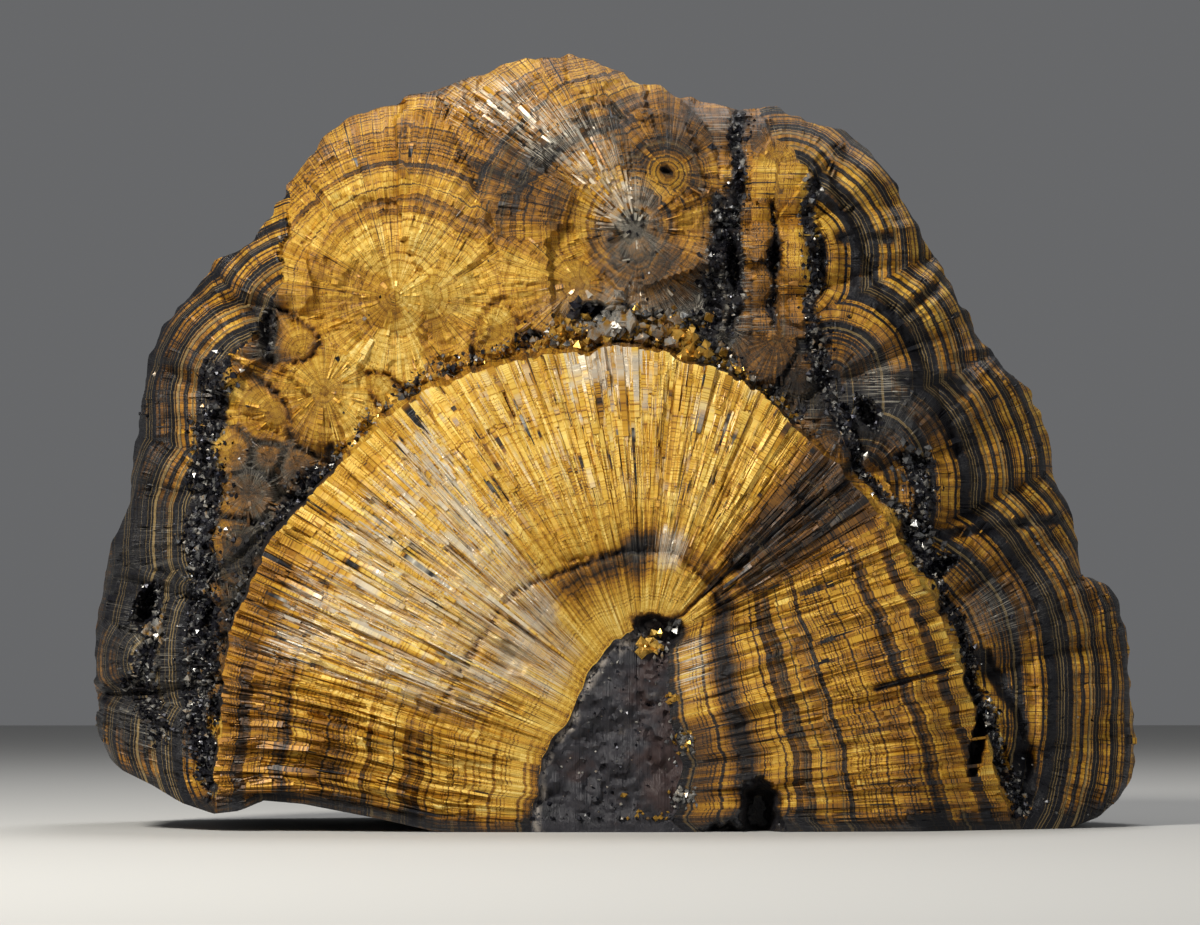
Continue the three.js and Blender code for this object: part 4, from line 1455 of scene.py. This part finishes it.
def skin_material():
    """The dark pimply skin of the lobes, which begins a little behind the broken face."""
    s = StoneShader("goethite skin")
    skin = s.look("skin")
    s.glint = s.times(s.glint, s.range(skin, 0.1, 0.0))
    dust = s.noise(s.place, *DUST)
    pimples = s.add("ShaderNodeTexVoronoi", {"Vector": s.place, "Scale": 330, "Randomness": 1.0})
    dusty = s.total(dust, [(s.times(s.sheen_rind_and_dust, skin), 0.22), (s.centred(s.grain), 0.25)])
    skinned = s.range(s.plus(skin, s.times(s.centred(dust), 0.6)), 0.3, 0.6)
    color = s.mix(skinned, s.fibre_color(), s.ramp(dusty, BARK))
    roughness = s.mix_value(skinned, s.roughness(), s.range(dusty, 0.4, 0.7, 0.34, 0.7))
    lumpy = s.total(s.grain, [(dust, 1.5), (pimples, -0.9)])
    return s.finish_stone(color, roughness, s.mix_value(skinned, s.height(), lumpy))


def crystal_material():
    """Small dark crystals with a metallic lustre, some of them rusty or golden."""
    s = Shader("goethite crystals")
    patchy = s.noise(s.add("ShaderNodeTexCoord", output="Object"), 300, 3, 0.6)
    value = s.plus(s.times(s.look("tint"), 0.8), s.times(patchy, 0.35))
    roughness = s.range(patchy, 0.3, 0.7, 0.16, 0.42)
    return s.finish(s.ramp(value, CRYSTAL_COLORS), roughness, 0.6, patchy, CRYSTAL_BUMP, CRYSTAL_BUMP_DEPTH)


# The pieces


def in_place(made, materials):
    """Gives a mesh its materials and puts it in the place of the CAD solid."""
    for material in materials:
        made.data.materials.append(material)
    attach(made, "root")
    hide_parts("goethite")


def stone(front, shell, face, core, skin):
    """The face and the shell behind it in one mesh, with a material for each kind of surface."""
    points = lifted(np.concatenate([front.points()] + shell.extra))
    behind = np.array(shell.triangles)
    zone = triangle_zones(front)
    face_looks = front_looks(front, zone)
    back_looks = shell_looks(points, behind)
    looks = {name: np.concatenate([face_looks[name], back_looks[name]]) for name in face_looks}
    triangles = np.concatenate([front.triangles, behind])
    made = make_mesh("goethite_stone", points, triangles, looks, STONE_SHARP)
    in_place(made, [face, core, skin])
    slots = np.concatenate([np.where(zone == CORE_ZONE, 1, 0), np.full(len(behind), 2)])
    made.data.polygons.foreach_set("material_index", slots.astype(np.int32))


def random_numbers(count, seed, columns):
    """Rows of repeatable random numbers from 0 to 1."""
    return np.random.default_rng(seed).random((count, columns))


def prisms(start, end, widths, heights):
    """Points and triangles of thin wedges from start to end, with the width at each end."""
    beside = np.cross(end - start, OUTWARD)
    beside /= np.linalg.norm(beside, axis=1)[:, None] + 1e-9
    ring = []
    for place, width, rise in ((start, widths[:, 0], heights[:, :2]), (end, widths[:, 1], heights[:, 2:])):
        side = beside * width[:, None] / 2
        ring.append(place - side - SPLINTER_SUNK * OUTWARD)
        ring.append(place + side - SPLINTER_SUNK * OUTWARD)
        ring.append(place + SPLINTER_TAPER * side + OUTWARD * rise[:, 1:2])
        ring.append(place - SPLINTER_TAPER * side + OUTWARD * rise[:, 0:1])
    points = np.stack(ring, axis=1)
    offsets = 8 * np.arange(len(start))[:, None, None]
    return points.reshape(-1, 3), (PRISM_FACES[None] + offsets).reshape(-1, 3)


def half_lengths(longest, chance):
    """Half the length of each splinter. Most are short."""
    return longest * (0.25 + 0.75 * chance**2) / 2


def tints(contrast, chance):
    """The tint of each splinter, round the middle one."""
    return 0.5 + contrast * (chance - 0.5)


def splinter_ends(zone, station, shares, ends, nucleus):
    """Places and looks of both ends of each splinter."""
    zones = np.full(len(station), zone)
    depths = [front_depth(zones, station, share, x, z) for share, (x, z) in zip(shares, ends)]
    places = [np.column_stack([x, y, z]) for (x, z), y in zip(ends, depths)]
    looks = [looks_at(zones, station, share, x, z, nucleus) for share, (x, z) in zip(shares, ends)]
    return places, looks


def fan_splinters(count, seed, longest, broadest, proud, contrast):
    """Splinters of the fan. Those that would cross a dark place of it are left out."""
    chance = random_numbers(count, seed, 9)
    station = chance[:, 0] * LAST_STATION
    middle = 0.06 + 0.92 * np.sqrt(chance[:, 1])
    half = half_lengths(longest, chance[:, 2]) / FAN_GROWTH
    shares = [np.clip(middle - half, 0.03, 1), np.clip(middle + half, 0.03, 1)]
    ends = [front_place(np.full(count, FAN_ZONE), station, share) for share in shares]
    places, looks = splinter_ends(FAN_ZONE, station, shares, ends, np.zeros(count, int))
    widths = broadest * (0.4 + 0.6 * chance[:, 3:4]) * (0.15 + 0.85 * np.column_stack(shares))
    heights = proud * (chance[:, 4:8] - 0.2) * value_at(FAN_RAGGED, station)[:, None]
    darkest = np.max([fan_looks(station, share)[0] for share in np.linspace(*shares, 5)], axis=0)
    keep = darkest - (looks[0]["dark"] + looks[1]["dark"]) / 2 <= 0.15
    return places, looks, widths, heights, tints(contrast, chance[:, 8]), keep


def in_belt(chance):
    """Which rows of random numbers give a place in the belt of painted sheen."""
    zones = np.full(len(chance), RIM_ZONE)
    places = front_place(zones, chance[:, 0] * LAST_STATION, chance[:, 1])
    return to_lines(*places, [SHEEN_BELT]) < SHEEN_BELT_WIDTH


def rim_splinters(count, seed, longest, broadest, proud, contrast, belt_only=False):
    """Splinters round the fan, along the fibres of whichever nucleus they grew from."""
    chance = random_numbers(count, seed, 9)
    if belt_only:
        chance = chance[in_belt(chance)]
    station = chance[:, 0] * LAST_STATION
    share = EDGE_WIDTH + 0.9 * chance[:, 1]
    x, z = front_place(np.full(len(chance), RIM_ZONE), station, share)
    nucleus = nucleus_of(x, z)
    nx, nz, _, half_height = NUCLEI[nucleus].T
    level = np.clip(z, nz - half_height, nz + half_height)
    away = np.hypot(x - nx, z - level)
    half = np.minimum(half_lengths(longest, chance[:, 2]), 0.3 * away)
    along_x, along_z = (x - nx) / away, (z - level) / away
    ends = [(x + sign * half * along_x, z + sign * half * along_z) for sign in (-1, 1)]
    places, looks = splinter_ends(RIM_ZONE, station, [share, share], ends, nucleus)
    widths = broadest * (0.4 + 0.6 * chance[:, 3:4]) * np.array([[0.7, 1.0]])
    heights = proud * (chance[:, 4:8] - 0.25)
    keep = np.ones(len(chance), bool)
    return places, looks, widths, heights, tints(contrast, chance[:, 8]), keep


def clear_of_hollows(start, end):
    """Which splinters keep off the foot and the hollows all the way."""
    clear = np.ones(len(start), bool)
    for part in (0, 0.25, 0.5, 0.75, 1):
        x, _, z = (start + part * (end - start)).T
        clear &= (z > LEAST_HEIGHT) & (hollow_depth(x, z) < -1)
    return clear


def splinters(material):
    """Broken fibres that stand a little proud of the face, joined in one mesh."""
    layers = [fan_splinters(*layer) for layer in FAN_SPLINTERS]
    layers += [rim_splinters(*layer) for layer in RIM_SPLINTERS]
    points, triangles, looks, total = [], [], [], 0
    for (start, end), (near, far), widths, heights, tint, keep in layers:
        keep = keep & (np.abs(far["dark"] - near["dark"]) < 0.5) & clear_of_hollows(start, end)
        made, faces = prisms(start[keep], end[keep], widths[keep], heights[keep])
        ends = {name: np.stack([near[name][keep], far[name][keep]], axis=1) for name in near}
        corners = {name: np.repeat(values, 4, axis=1).ravel() for name, values in ends.items()}
        corners["tint"] = np.repeat(tint[keep], 8)
        points.append(made)
        triangles.append(faces + total)
        looks.append({name: values[faces] for name, values in corners.items()})
        total += len(made)
    joined = {name: np.concatenate([look[name] for look in looks]) for name in looks[0]}
    places = lifted(np.concatenate(points))
    made = make_mesh("goethite_splinters", places, np.concatenate(triangles), joined, SPLINTER_SHARP)
    in_place(made, [material])


def grain_places(count, seed):
    """Where the small crystals sit: thickest in the seams, the strip over the fan and the hollows."""
    chance = random_numbers(GRAIN_TRIES * count, seed, 3)
    station = chance[:, 0] * LAST_STATION
    share = EDGE_WIDTH + 0.93 * chance[:, 1]
    zone = np.full(len(station), RIM_ZONE)
    x, z = front_place(zone, station, share)
    pit = smoothstep(hollow_depth(x, z), -1.5, 1)
    crowd = 0.75 * seam_share(x, z) ** 1.5 + 0.5 * granular(share, station) + 0.4 * pit
    crowd = crowd * (z > LEAST_HEIGHT) + STRAY_GRAINS
    chosen = np.flatnonzero(chance[:, 2] < crowd)[:count]
    x, z, station, share = x[chosen], z[chosen], station[chosen], share[chosen]
    y = front_depth(zone[chosen], station, share, x, z)
    return np.column_stack([x, y, z]), granular(share, station)


def core_places(count, seed):
    """Where small crystals sit on the core, thickest along its border."""
    chance = random_numbers(count, seed, 2)
    station = chance[:, 0] * LAST_STATION
    share = 1 - 0.9 * chance[:, 1] ** 2.2
    zone = np.full(count, CORE_ZONE)
    x, z = front_place(zone, station, share)
    y = front_depth(zone, station, share, x, z)
    return np.column_stack([x, y, z])


def cluster_places():
    """Middles, sizes and tints of the crystals in the clusters."""
    middles, sizes, cluster_tints = [], [], []
    for number, (x, z, spread, count, size, tint) in enumerate(CLUSTERS):
        chance = random_numbers(count, CLUSTER_SEED + number, 6)
        px = x + spread * (chance[:, 0] + chance[:, 1] - 1)
        pz = z + spread * (chance[:, 2] + chance[:, 3] - 1)
        py = face_plane(px, pz) + np.clip(hollow_depth(px, pz), 0, CLUSTER_SUNK)
        middles.append(np.column_stack([px, py, pz]))
        sizes.append(size * (0.6 + 0.6 * chance[:, 4]))
        cluster_tints.append(tint + 0.1 * (chance[:, 5] - 0.5))
    return np.concatenate(middles), np.concatenate(sizes), np.concatenate(cluster_tints)


def turned(vectors, chance):
    """Turns each group of vectors about two axes by chance."""
    x, y, z = np.moveaxis(vectors, -1, 0)
    a, b = (FULL_TURN * chance[:, k : k + 1] for k in range(2))
    x, y = x * np.cos(a) - y * np.sin(a), x * np.sin(a) + y * np.cos(a)
    y, z = y * np.cos(b) - z * np.sin(b), y * np.sin(b) + z * np.cos(b)
    return np.stack([x, y, z], axis=-1)


def grains(material):
    """Small crystals half sunk in the seams, the core and the hollows, joined in one mesh."""
    face, strip_share = grain_places(FACE_GRAINS, 31)
    core = core_places(CORE_GRAINS, 32)
    clusters, cluster_sizes, cluster_tints = cluster_places()
    middles = np.concatenate([face, core, clusters])
    in_strip = np.concatenate([strip_share, np.zeros(len(core) + len(clusters))])
    chance = random_numbers(len(middles), 33, 7)
    size = 0.28 + 0.9 * chance[:, 0] ** 2.5 + 0.3 * in_strip
    size[len(face) :] *= 0.6
    size[-len(clusters) :] = cluster_sizes
    stretch = 0.5 + chance[:, 1:4]
    shapes = turned(OCTAHEDRON[None] * stretch[:, None] * size[:, None, None], chance[:, 4:6])
    middles[:, 2] = np.maximum(middles[:, 2], LEAST_GRAIN_HEIGHT)
    points = (shapes + middles[:, None]).reshape(-1, 3)
    offsets = len(OCTAHEDRON) * np.arange(len(middles))[:, None, None]
    triangles = (OCTAHEDRON_FACES[None] + offsets).reshape(-1, 3)
    tint = np.clip(chance[:, 6] * (0.68 - 0.1 * in_strip) + 0.5 * in_strip, 0, 1)
    tint[-len(clusters) :] = cluster_tints
    looks = {"tint": np.repeat(tint[:, None], OCTAHEDRON_FACES.size, axis=1)}
    made = make_mesh("goethite_crystals", lifted(points), triangles, looks, CRYSTAL_SHARP)
    in_place(made, [material])


# The scene


def facing(place, target):
    """The rotation of a lamp or a camera at a place that looks at a target."""
    return (Vector(target) - Vector(place)).to_track_quat("-Z", "Y").to_euler()


def studio():
    """Soft lights round the stone and a grey room."""
    for name, place, size, power, color in LIGHTS:
        lamp = bpy.data.lights.new(name, "AREA")
        lamp.shape = "DISK"
        lamp.size = size
        lamp.energy = power
        lamp.color = color
        made = bpy.data.objects.new(name, lamp)
        made.location = place
        made.rotation_euler = facing(place, LIGHT_TARGET)
        bpy.context.collection.objects.link(made)
    world = bpy.data.worlds.new("studio")
    world.use_nodes = True
    background = world.node_tree.nodes["Background"]
    background.inputs["Color"].default_value = (*ROOM_COLOR, 1)
    background.inputs["Strength"].default_value = ROOM_STRENGTH
    bpy.context.scene.world = world
    bpy.context.scene.view_settings.view_transform = "Standard"


def floor():
    """A flat pale floor under the stone."""
    bpy.ops.mesh.primitive_plane_add(size=FLOOR_SIZE, location=(0, 0, 0))
    made = bpy.context.object
    made.name = "floor"
    material = bpy.data.materials.new("floor")
    material.use_nodes = True
    surface = material.node_tree.nodes["Principled BSDF"]
    surface.inputs["Base Color"].default_value = (*FLOOR_COLOR, 1)
    surface.inputs["Roughness"].default_value = FLOOR_ROUGHNESS
    made.data.materials.append(material)


def camera():
    """A camera at the photo's viewing angle."""
    data = bpy.data.cameras.new("camera")
    data.lens = CAMERA_LENS
    data.sensor_width = CAMERA_SENSOR
    made = bpy.data.objects.new("camera", data)
    made.location = CAMERA_PLACE
    made.rotation_euler = facing(CAMERA_PLACE, CAMERA_TARGET)
    bpy.context.collection.objects.link(made)
    bpy.context.scene.camera = made


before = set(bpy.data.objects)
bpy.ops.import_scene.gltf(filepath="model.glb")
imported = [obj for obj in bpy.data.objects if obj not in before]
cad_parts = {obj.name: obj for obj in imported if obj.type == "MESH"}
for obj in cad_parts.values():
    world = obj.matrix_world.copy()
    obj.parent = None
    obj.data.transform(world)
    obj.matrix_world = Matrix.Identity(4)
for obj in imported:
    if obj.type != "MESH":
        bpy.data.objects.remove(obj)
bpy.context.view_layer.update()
camera()
studio()
floor()
front = Front()
face = face_material()
stone(front, Shell(front), face, core_material(), skin_material())
splinters(face)
grains(crystal_material())
